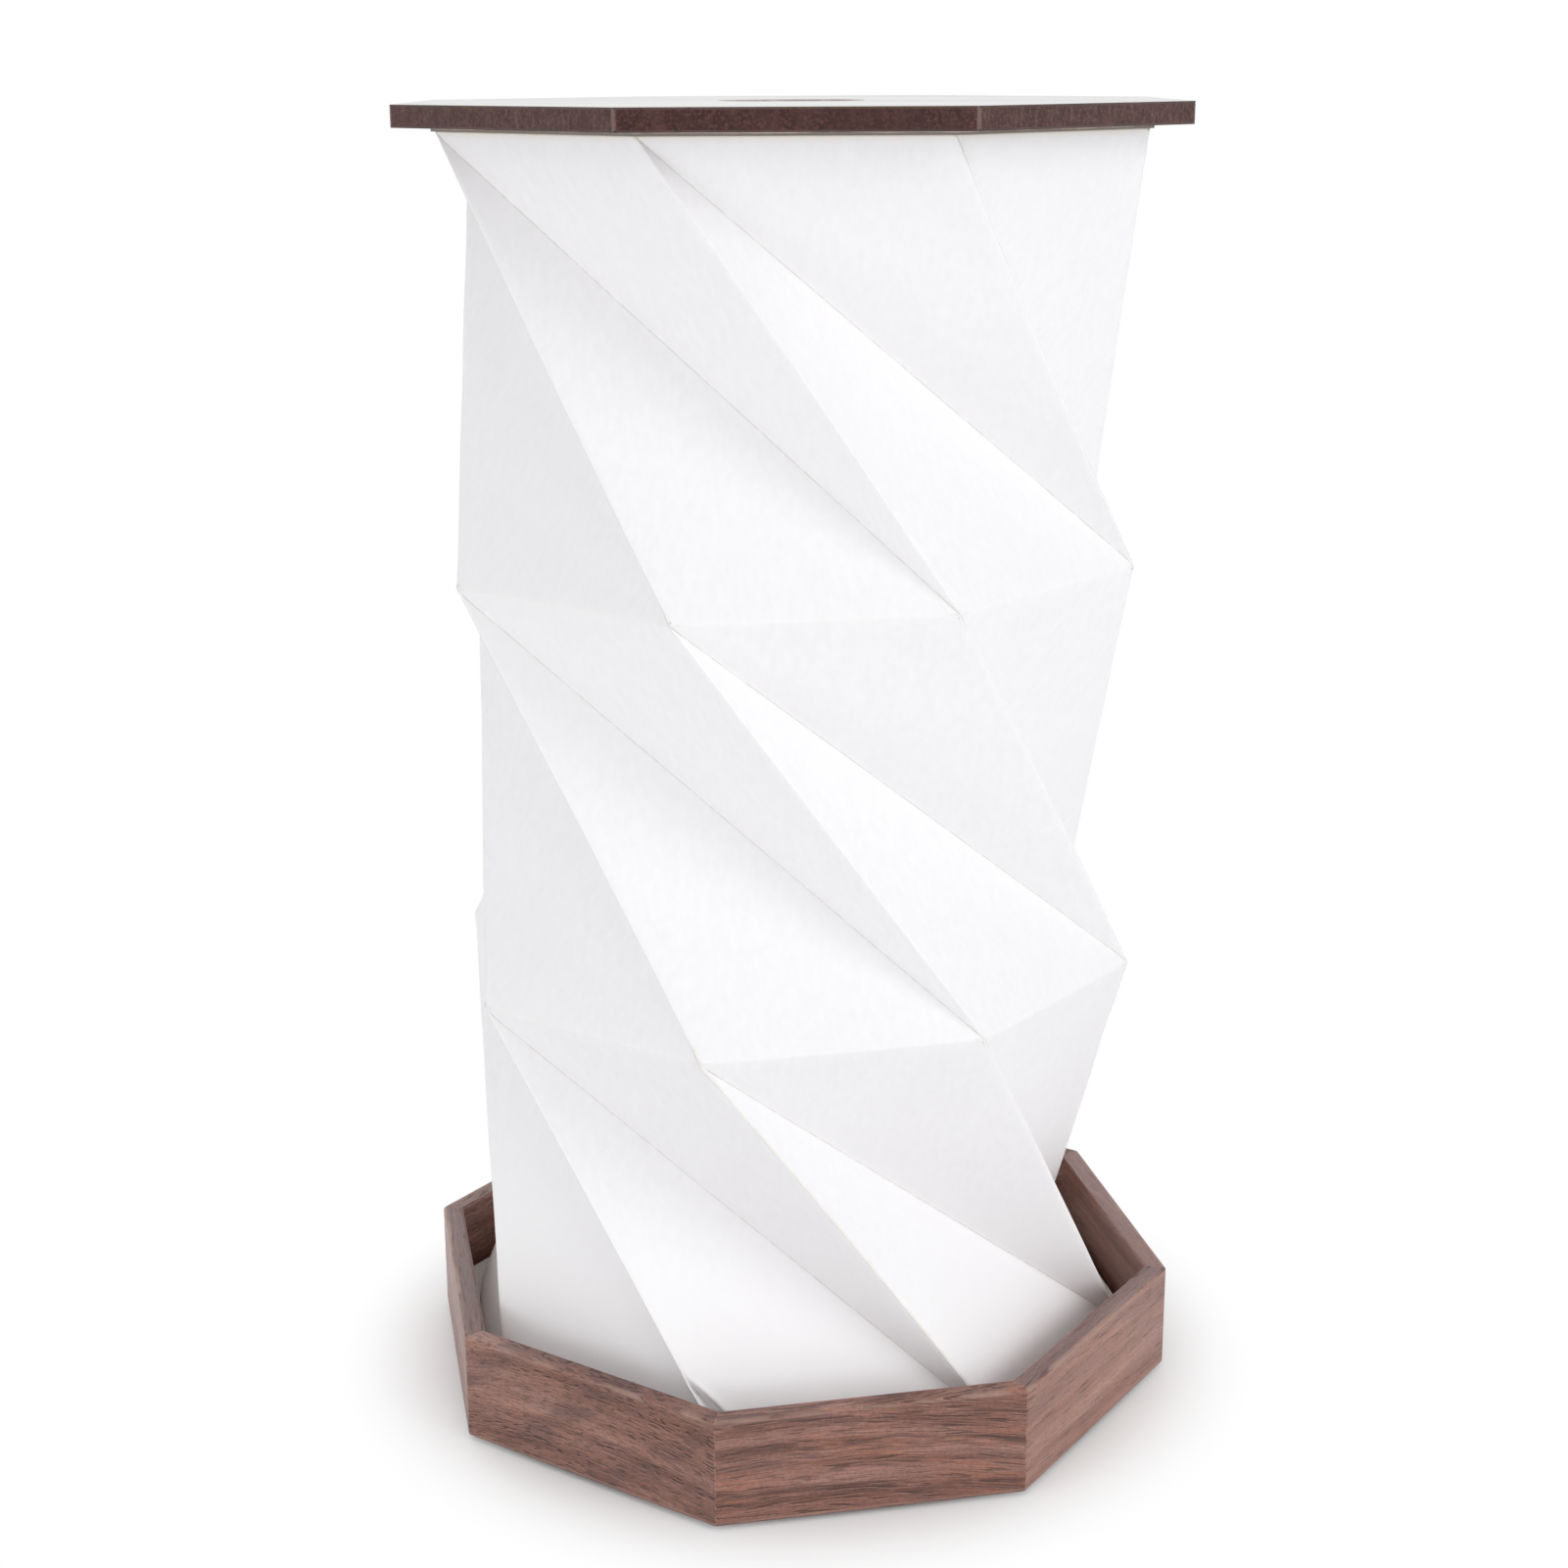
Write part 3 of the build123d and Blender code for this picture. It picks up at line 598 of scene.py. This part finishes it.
# %% [markdown]
# One function makes a facet of either kind. It could displace the points along one normal, but a fold, a
# crown and a bowed edge each move the paper another way. So the creases and ripples push outwards from the
# lamp, the crown follows the facet's own normal, and a bowed ridge moves round the lamp. One side of the
# foot also bows out a little. The distance from each crease is kept for the finish.

# %% One facet
valley_fold = (0.14, 0.36)
ridge_fold = (-0.24, 0.42)
ring_fold = (-0.10, 0.42)
dent_width = 1.8
dent_depth = 0.16
dent_ripple = 0.10
wide_ripple = 0.16
fine_ripple = 0.05
calm_corner = 6 * mm
plain_corner = 2.5 * mm
crown_range = (-0.1, 0.45)
crown_draw = np.random.default_rng(31)


def fold(gap, height, width):
    return height * np.exp(-((gap / (width * mm)) ** 2))


def facet(apex, first, last, ridge, valley, ring_edge, bow, stands, across, along, seam=False, foot_bow=0.0):
    share = across[None, :, None]
    reach = along[:, None, None]
    flat = apex + reach * ((1 - share) * first + share * last - apex)
    ridge_gap = from_line(flat, *ridge)
    valley_gap = from_line(flat, *valley)
    ring_gap = from_line(flat, *ring_edge)
    corner_gap = np.min([np.linalg.norm(flat - corner, axis=-1) for corner in (apex, first, last)], axis=0)
    outward = flat * (1, 1, 0)
    outward = outward / np.linalg.norm(outward, axis=-1, keepdims=True)
    around = np.stack((-outward[..., 1], outward[..., 0], 0 * outward[..., 0]), -1)
    normal = np.cross(first - apex, last - apex)
    normal = normal / np.linalg.norm(normal) * (1 if stands else -1)
    down = along[:, None] if stands else 1 - along[:, None]
    near_ridge = (1 - across[None, :]) ** 2 if stands else across[None, :] ** 2
    bubble = 27 * (1 - reach) * reach * (1 - share) * reach * share
    crown = crown_draw.uniform(*crown_range) * mm
    wide, fine, tight = ripples(flat)
    creased = fold(valley_gap, *valley_fold) + fold(ridge_gap, *ridge_fold) + fold(ring_gap, *ring_fold)
    dented = (dent_ripple * tight - dent_depth) * fold(corner_gap, 1, dent_width)
    push = np.clip(corner_gap / calm_corner, 0, 1) * (wide_ripple * wide + fine_ripple * fine)
    push = push + np.clip(corner_gap / plain_corner, 0, 1) * creased + dented
    moved = flat + bubble * crown * normal + push[..., None] * mm * outward
    if seam:
        moved = moved + open_lap(ridge_gap, flat[..., 2] - first[2])[..., None] * mm * normal
    moved = moved + (bow * mm * 4 * down * (1 - down) * near_ridge)[..., None] * around
    moved = moved + foot_bow * mm * 4 * share * (1 - share) * reach ** 5 * outward
    return moved, ridge_gap, valley_gap, ring_gap


print("facet ready, crown in mm:", crown_range)

# %% [markdown]
# Now the 48 facets are folded tier by tier. They could be copies of one pair, turned round the middle, but
# then no two corners and no two ridges could differ. So each facet is made from its own corners, and a
# small table says which ridges bow and by how many millimetres.

# %% Facets of the folded sheet
ridge_bows = {(2, 0): 0.25, (2, 1): -0.55, (2, 7): -0.5, (1, 0): 0.4, (1, 6): 0.3, (0, 5): 0.35, (0, 6): 0.7,
              (0, 7): 0.3}
foot_bows = {3: 1.7}
facets = []
for tier in range(tier_count):
    low, high = rings[tier], rings[tier + 1]
    rows = along_steps if tier else low_along
    for index in range(side_count):
        after = (index + 1) % side_count
        seam = tier == 0 and index == seam_side
        columns = seam_across if seam else across_steps
        foot_bow = 0.0 if tier else foot_bows.get(index, 0.0)
        valley = (high[index], low[after])
        standing = facet(high[index], low[index], low[after], (high[index], low[index]), valley,
                         (low[index], low[after]), ridge_bows.get((tier, index), 0.0), True, columns, rows,
                         seam, foot_bow)
        hanging = facet(low[after], high[index], high[after], (high[after], low[after]), valley,
                        (high[index], high[after]), ridge_bows.get((tier, after), 0.0), False, across_steps,
                        1 - rows[::-1])
        facets += [standing, hanging]
print("facets folded:", len(facets), "points in all:", sum(grid[0][..., 0].size for grid in facets))

# %% [markdown]
# The facets now become one sheet. At the top and at the bottom a narrow flap turns inwards: the upper one
# is glued under the lid's card, the lower one on the ring of card in the tray. The flaps could be flat
# rings of their own, but they are the same paper, so each starts from the edge points of its facet.

# %% Facets and flaps side by side
flap_width = 8 * mm
flap_rows = np.linspace(0, 1, 5)
points, gaps, faces = [], [], []


def lay(grid, distances, flip):
    start = sum(len(block) for block in points)
    height, width = grid.shape[:2]
    points.append(grid.reshape(-1, 3))
    gaps.append(np.stack([gap.reshape(-1) for gap in distances], -1))
    for row in range(height - 1):
        for column in range(width - 1):
            corner = start + row * width + column
            face = (corner, corner + width, corner + width + 1, corner + 1)
            faces.append(face[::-1] if flip else face)


def lay_flap(edge, distances, flip):
    inradius = ring_radius * math.cos(math.pi / side_count)
    scale = 1 - flap_rows[:, None] * flap_width / inradius
    grid = np.stack((edge[None, :, 0] * scale, edge[None, :, 1] * scale, edge[None, :, 2] + 0 * scale), -1)
    far = [np.repeat(gap[None, :], flap_rows.size, 0) + flap_rows[:, None] * flap_width for gap in distances]
    lay(grid, far, flip)


for order, (grid, *distances) in enumerate(facets):
    stands = order % 2 == 0
    lay(grid, distances, not stands)
    tier = order // (2 * side_count)
    edge_distances = [gap[-1] for gap in distances]
    if tier == 0 and stands:
        lay_flap(grid[-1], edge_distances, False)
    if tier == tier_count - 1 and not stands:
        lay_flap(grid[-1], edge_distances, True)
print("faces laid:", len(faces))

# %% [markdown]
# Neighbouring facets share the points of their crease, but so far each has its own copy. Blender can merge
# them by distance, but the distances to the creases have to be merged with them. So equal places are found
# by their rounded numbers, and each keeps its smallest distances. Close to a corner the copies differ by up
# to 0.05 mm and stay apart. At a facet's tip the faces become triangles.

# %% One skin
same_place = 1e-7
far_from_folds = 1.0
points, gaps = np.concatenate(points), np.concatenate(gaps)
first_seen, same = np.unique(np.round(points / same_place).astype(np.int64), axis=0, return_index=True,
                             return_inverse=True)[1:]
same = same.reshape(-1)
outer = points[first_seen]
nearest = np.full((len(outer), 3), far_from_folds)
np.minimum.at(nearest, same, gaps)
skin = []
for face in faces:
    ring = [int(same[corner]) for corner in face]
    skin.append(tuple(corner for step, corner in enumerate(ring) if corner != ring[step - 1]))
print("points of the skin:", len(outer), "triangles:", sum(len(face) == 3 for face in skin))

# %% [markdown]
# Paper has a thickness, and it shows at the sheet's free edges. A modifier could thicken the skin, but the
# folds are sharp and the sheet has to stay whole when it is pressed flat. So the second face is laid along
# the points' normals, and every edge that isn't shared is closed with a rim. The distances to the creases
# go with the points.

# %% Sheet with thickness
paper_thickness = 0.42 * mm
worn_ridge = 6
worn_reach = 2 * mm
longest_gap = 0.05
normals = np.zeros_like(outer)
for face in skin:
    a, b, c = outer[face[0]], outer[face[1]], outer[face[2]]
    leaf = np.cross(b - a, c - a)
    if len(face) == 4:
        leaf = leaf + np.cross(c - a, outer[face[3]] - a)
    leaf = leaf / max(np.linalg.norm(leaf), 1e-15)
    for corner in face:
        normals[corner] += leaf
normals /= np.linalg.norm(normals, axis=1, keepdims=True)
inner = outer - paper_thickness * normals
count = len(outer)
edges = {}
for face in skin:
    for step, corner in enumerate(face):
        edges[(face[step - 1], corner)] = True
rim = [(b, a, a + count, b + count) for a, b in edges if (b, a) not in edges]
back = [tuple(corner + count for corner in reversed(face)) for face in skin]
sheet_mesh = bpy.data.meshes.new("shade_sheet")
sheet_mesh.from_pydata(np.concatenate((outer, inner)).tolist(), [], skin + back + rim)
sheet_mesh.polygons.foreach_set("use_smooth", [True] * len(sheet_mesh.polygons))
near_worn = from_line(outer, rings[1][worn_ridge], rings[0][worn_ridge]) < worn_reach
kept_gaps = {"ridge_gap": nearest[:, 0], "valley_gap": nearest[:, 1], "ring_gap": nearest[:, 2],
             "worn_gap": np.where(near_worn, nearest[:, 0], far_from_folds)}
for name, gap in kept_gaps.items():
    layer = sheet_mesh.attributes.new(name, "FLOAT", "POINT")
    layer.data.foreach_set("value", np.tile(np.minimum(gap, longest_gap), 2).astype(np.float32))
sheet_mesh.update()
shade_sheet = bpy.data.objects.new("shade_sheet", sheet_mesh)
bpy.context.scene.collection.objects.link(shade_sheet)
print("sheet points:", len(sheet_mesh.vertices), "faces:", len(sheet_mesh.polygons), "rim faces:", len(rim))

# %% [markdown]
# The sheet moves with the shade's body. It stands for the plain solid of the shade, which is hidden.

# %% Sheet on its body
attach(shade_sheet, "shade")
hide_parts("shade")

# %% [markdown]
# The sheet is a white fibrous paper. One white would look like plaster, so faint fibres run through it,
# mostly upright, with soft clouds where the sheet is thinner. Scoring leaves a fine grey line in each
# valley, and each valley gets a little painted shade, darker and warmer. The ridges get a thin painted
# highlight, and the top edge under the lid a darker cream. One ridge is rubbed to a cream line. The
# distances that were kept with the points give the marks at the folds. The boards take some light from the
# foot of the sheet, which still looks white in the picture, so its colour is set a little whiter there.
# That is a choice for the likeness, not a known difference.

# %% Paper finish
fibre_whites = ((0.25, (0.874, 0.866, 0.881, 1)), (0.75, (0.914, 0.906, 0.922, 1)))
cross_fibre_white = (0.923, 0.917, 0.928, 1)
thin_paper_white = (0.874, 0.866, 0.878, 1)
valley_shade_warm = (0.86, 0.842, 0.815, 1)
ring_warm = (0.93, 0.92, 0.905, 1)
ridge_highlight_white = (0.94, 0.935, 0.93, 1)
foot_white = (0.965, 0.957, 0.968, 1)
top_edge_cream = (0.84, 0.80, 0.72, 1)
score_grey = (0.62, 0.61, 0.60, 1)
worn_cream = (0.90, 0.885, 0.80, 1)
frayed_grey = (0.56, 0.55, 0.52, 1)


def gap_to(tree, name):
    return add(tree, "Attribute", result="Fac", options={"attribute_name": name})


def folded_paper(name):
    material, tree, shader = new_finish(name)
    place = add(tree, "TexCoord", result="Object")
    height = split(tree, place)[2]
    valley, ridge, ring, worn = (gap_to(tree, kind + "_gap") for kind in ("valley", "ridge", "ring", "worn"))
    upright = stretched_noise(tree, place, (900, 900, 90), 3, 0.6)
    crossed = stretched_noise(tree, place, (300, 300, 420), 3, 0.6, 1.2)
    cloud = stretched_noise(tree, place, (32, 32, 26), 2)
    white = ramp(tree, upright, *fibre_whites)
    white = tint(tree, spread(tree, crossed, 0.55, 0.8, 0.0, 0.5), white, cross_fibre_white)
    white = tint(tree, spread(tree, cloud, 0.4, 0.75, 0.0, 0.35), white, thin_paper_white)
    # painted shade: the valleys are tinted darker and warmer
    white = tint(tree, spread(tree, valley, 0.0, 2.2 * mm, 0.15, 0.0), white, valley_shade_warm)
    white = tint(tree, spread(tree, ring, 0.0, 0.5 * mm, 0.25, 0.0), white, ring_warm)
    # painted highlight: a thin whiter line along the ridges
    white = tint(tree, spread(tree, ridge, 0.0, 0.5 * mm, 0.45, 0.0), white, ridge_highlight_white)
    near_foot = spread(tree, height, shade_low.z + 5 * mm, shade_low.z + 45 * mm, 0.85, 0.0)
    white = tint(tree, near_foot, white, foot_white)
    # the paper is tinted a darker cream towards its top edge, under the lid
    near_top = spread(tree, height, shade_high.z - 1.1 * mm, shade_high.z - 0.1 * mm, 0.0, 0.6)
    white = tint(tree, near_top, white, top_edge_cream)
    scored = spread(tree, crossed, 0.38, 0.56, 0.25, 0.6)
    scored = sums(tree, "MULTIPLY", scored, spread(tree, valley, 0.05 * mm, 0.19 * mm, 1.0, 0.0))
    white = tint(tree, scored, white, score_grey)
    broken = spread(tree, stretched_noise(tree, place, (420, 420, 260), 2, 0.6), 0.40, 0.60, 0.35, 0.9)
    fuzz = sums(tree, "MULTIPLY", broken, spread(tree, worn, 0.10 * mm, 0.26 * mm, 1.0, 0.0))
    white = tint(tree, fuzz, white, worn_cream)
    frayed = sums(tree, "MULTIPLY", broken, line_at(tree, worn, 0.34 * mm, 0.03 * mm, 0.11 * mm, 0.55))
    white = tint(tree, frayed, white, frayed_grey)
    tree.links.new(white, shader.inputs["Base Color"])
    tree.links.new(spread(tree, crossed, 0.3, 0.7, 0.55, 0.7), shader.inputs["Roughness"])
    shader.inputs["Specular IOR Level"].default_value = 0.3
    relief(tree, shader, sums(tree, "ADD", upright, sums(tree, "MULTIPLY", crossed, 0.6)), 0.16, 0.07 * mm)
    return material


dress(shade_sheet, folded_paper("shade_paper_white"))
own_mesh(shade_sheet)

# %% [markdown]
# Two pieces of card hold the sheet: a ring in the tray and a plate under the lid, which shows as a thin
# cream line over a darker, uneven line of painted shadow, for the gap below it. The floor of the tray is a
# moulded grey plate with a fine satin skin. They are seen in narrow strips, so a grain of the right size is
# enough, but each still needs its own colour, gloss and relief. One function makes them from two tones, and
# the painted shadow line is then mixed into the upper card.

# %% Cards and floor plate
gap_shadow_brown = (0.085, 0.060, 0.048, 1)
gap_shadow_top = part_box("lid_liner")[0].z + 0.08 * mm


def grained(name, low, high, scale, rough=(0.45, 0.6), depth=0.05 * mm, metal=0.0, stretch=(1, 1, 1)):
    material, tree, shader = new_finish(name)
    place = add(tree, "TexCoord", result="Object")
    size = [scale * part for part in stretch]
    fine = stretched_noise(tree, place, size, 3, 0.62)
    broad = stretched_noise(tree, place, [0.06 * part for part in size], 2)
    colour = ramp(tree, fine, (0.28, (*low, 1)), (0.72, (*high, 1)))
    middle = tuple(0.5 * (a + b) * 0.86 for a, b in zip(low, high))
    colour = tint(tree, spread(tree, broad, 0.45, 0.8, 0.0, 0.3), colour, (*middle, 1))
    tree.links.new(colour, shader.inputs["Base Color"])
    tree.links.new(spread(tree, fine, 0.3, 0.7, *rough), shader.inputs["Roughness"])
    shader.inputs["Metallic"].default_value = metal
    relief(tree, shader, fine, 0.4, depth)
    return material


def add_gap_shadow(material):
    tree = material.node_tree
    base_colour = tree.nodes["Principled BSDF"].inputs["Base Color"]
    place = add(tree, "TexCoord", result="Object")
    uneven = stretched_noise(tree, place, (110, 110, 0), 3, 0.7)
    ragged = sums(tree, "MULTIPLY_ADD", uneven, -0.5 * mm, split(tree, place)[2])
    # painted shadow: a dark, uneven line along the lower edge of the card
    glue = spread(tree, ragged, gap_shadow_top, gap_shadow_top + 0.07 * mm, 0.65, 0.0)
    tree.links.new(tint(tree, glue, base_colour.links[0].from_socket, gap_shadow_brown), base_colour)


card_look = dict(scale=2400, rough=(0.6, 0.8), depth=0.06 * mm, stretch=(1, 1, 0.3))
ring_card = grained("cream_card", (0.62, 0.55, 0.44), (0.74, 0.68, 0.58), **card_look)
lid_card = grained("glued_card", (0.66, 0.56, 0.48), (0.76, 0.68, 0.60), **card_look)
add_gap_shadow(lid_card)
satin_plate = grained("floor_plate_satin", (0.61, 0.58, 0.54), (0.67, 0.64, 0.60), 2600, (0.10, 0.18),
                      0.01 * mm)
dress(solids["shade_base_card"], ring_card)
dress(solids["lid_liner"], lid_card)
dress(solids["floor_plate"], satin_plate)
print("cards and floor plate finished, glue top in mm:", round(gap_shadow_top / mm, 2))

# %% [markdown]
# The rest sits under the floor plate or under the tray: a plywood panel, rubber feet, screws, the light and
# its electronics. They are seen only from below or when the lamp is taken apart, but they are parts like
# any other. They could share one grey, but then nobody could tell a chip from a battery. So one table gives
# each finish its two tones, the size of its grain, its gloss and how much of it is metal.

# %% Parts under the floor
hidden_finishes = {
    "plywood": dict(low=(0.40, 0.26, 0.15), high=(0.58, 0.41, 0.26), scale=700, rough=(0.5, 0.7),
                    stretch=(0.06, 1, 3), depth=0.08 * mm),
    "foot_rubber": dict(low=(0.016, 0.016, 0.017), high=(0.036, 0.036, 0.038), scale=3200, rough=(0.7, 0.9)),
    "screw_steel": dict(low=(0.42, 0.42, 0.43), high=(0.60, 0.60, 0.60), scale=2200, rough=(0.25, 0.4),
                        metal=1.0),
    "circuit_board": dict(low=(0.010, 0.085, 0.040), high=(0.020, 0.150, 0.070), scale=900,
                          rough=(0.3, 0.45)),
    "led_board_white": dict(low=(0.74, 0.74, 0.73), high=(0.82, 0.82, 0.81), scale=1400, rough=(0.35, 0.5)),
    "chip_black": dict(low=(0.014, 0.014, 0.015), high=(0.032, 0.032, 0.034), scale=4200, rough=(0.5, 0.65)),
    "led_white": dict(low=(0.72, 0.56, 0.16), high=(0.84, 0.70, 0.28), scale=3800, rough=(0.3, 0.5)),
    "socket_steel": dict(low=(0.50, 0.50, 0.51), high=(0.66, 0.66, 0.66), scale=1800, rough=(0.22, 0.36),
                         metal=1.0, stretch=(1, 0.1, 1)),
    "battery_foil": dict(low=(0.50, 0.51, 0.52), high=(0.66, 0.67, 0.68), scale=420, rough=(0.28, 0.45),
                         metal=0.85, depth=0.2 * mm),
    "lead_red": dict(low=(0.34, 0.022, 0.016), high=(0.46, 0.040, 0.030), scale=2600, rough=(0.38, 0.5)),
    "lead_black": dict(low=(0.014, 0.014, 0.014), high=(0.034, 0.034, 0.034), scale=2600, rough=(0.38, 0.5)),
    "frosted_plastic": dict(low=(0.78, 0.78, 0.77), high=(0.86, 0.86, 0.85), scale=2400, rough=(0.45, 0.6)),
    "magnet_nickel": dict(low=(0.58, 0.56, 0.52), high=(0.72, 0.70, 0.66), scale=1600, rough=(0.12, 0.22),
                          metal=1.0),
}
finished = 0
for slot, look in hidden_finishes.items():
    finish = grained(slot + "_finish", **look)
    for solid in solids.values():
        if solid.data.materials and solid.data.materials[0].name == slot:
            dress(solid, finish)
            finished += 1
print("hidden parts finished:", finished)

# %% [markdown]
# The lamp stands on a white sweep. It has to be white in the picture and still take the lamp's shadow. More
# light would bleach the paper, so the floor is a pale matt surface near the lamp, and it turns into plain
# white for the camera and for reflections further out, where hardly any shadow reaches.

# %% Floor
plain_white = (1, 1, 1, 1)
floor_white = (0.97, 0.97, 0.97, 1)
floor_half = 12.0
shadow_fades = (0.055, 0.082)
floor_signs = ((-1, -1), (1, -1), (1, 1), (-1, 1))
floor_mesh = bpy.data.meshes.new("sweep")
floor_mesh.from_pydata([(x * floor_half, y * floor_half, 0) for x, y in floor_signs], [], [(0, 1, 2, 3)])
sweep = bpy.data.objects.new("sweep", floor_mesh)
bpy.context.scene.collection.objects.link(sweep)


def seen_directly(tree):
    rays = tree.nodes.new("ShaderNodeLightPath").outputs
    glossy_or_clear = sums(tree, "MAXIMUM", rays["Is Glossy Ray"], rays["Is Transmission Ray"])
    return sums(tree, "MAXIMUM", rays["Is Camera Ray"], glossy_or_clear)


def show_mixed(tree, share, first, second, output):
    mixed = tree.nodes.new("ShaderNodeMixShader")
    for socket, result in zip(mixed.inputs, (share, first, second)):
        tree.links.new(result, socket)
    tree.links.new(mixed.outputs[0], tree.nodes[output].inputs["Surface"])


floor_paint, tree, shader = new_finish("sweep_white")
shader.inputs["Base Color"].default_value = floor_white
shader.inputs["Roughness"].default_value = 0.9
shader.inputs["Specular IOR Level"].default_value = 0.1
far_out = spread(tree, off_middle(tree, add(tree, "TexCoord", result="Object")), *shadow_fades)
plain = add(tree, "Emission", Color=plain_white)
far_and_seen = sums(tree, "MULTIPLY", far_out, seen_directly(tree))
show_mixed(tree, far_and_seen, shader.outputs[0], plain, "Material Output")
dress(sweep, floor_paint)
print("floor is", 2 * floor_half, "m wide")

# %% [markdown]
# The room is even and bright. One strength could serve for all of it, but a room that is bright enough to
# look white would flatten the folds. So it is white to the eye and in reflections, and dimmer for the light
# it gives.

# %% Room
room_light = 0.64
room_seen = 1.0
room = bpy.data.worlds.new("white_room")
bpy.context.scene.world = room
room.use_nodes = True
tree = room.node_tree
lit = tree.nodes["Background"]
lit.inputs["Color"].default_value = plain_white
lit.inputs["Strength"].default_value = room_light
seen = add(tree, "Background", Color=plain_white, Strength=room_seen)
show_mixed(tree, seen_directly(tree), lit.outputs[0], seen, "World Output")
print("room gives light at", room_light, "and is seen at", room_seen)

# %% [markdown]
# Soft lamps shape the folds. One big window could light them all, but then the hanging facets, which look
# left and down, would go grey. So the strongest lamp stands at the front right: the facets that face it are
# the brightest, and each hanging facet shades the valley beside it. Two small lamps stand near the floor,
# at the left and in front, and light the hanging facets from low down. A weak one high on the left reaches
# behind the tray's rim, and one stands behind, so that the back isn't left to the room alone.

# %% Lamps
def soft_light(name, place, target, size, power):
    light = bpy.data.lights.new(name, "AREA")
    light.shape = "DISK"
    light.size = size
    light.energy = power
    lamp = bpy.data.objects.new(name, light)
    lamp.location = place
    lamp.rotation_euler = (Vector(target) - Vector(place)).to_track_quat("-Z", "Y").to_euler()
    bpy.context.scene.collection.objects.link(lamp)


lamp_middle = (0, 0, 0.11)
lights = (
    ("right_window", (0.85, -0.90, 0.70), 0.70, 4.55),
    ("left_window", (-0.75, -0.50, 0.90), 0.70, 0.85),
    ("left_fill", (-0.80, -0.30, 0.17), 0.34, 0.90),
    ("front_fill", (0.25, -1.00, 0.17), 0.34, 1.05),
    ("back_fill", (-0.30, 1.00, 0.70), 0.80, 2.00),
)
for name, place, size, power in lights:
    soft_light(name, place, lamp_middle, size, power)
print("lamps placed:", len(lights))
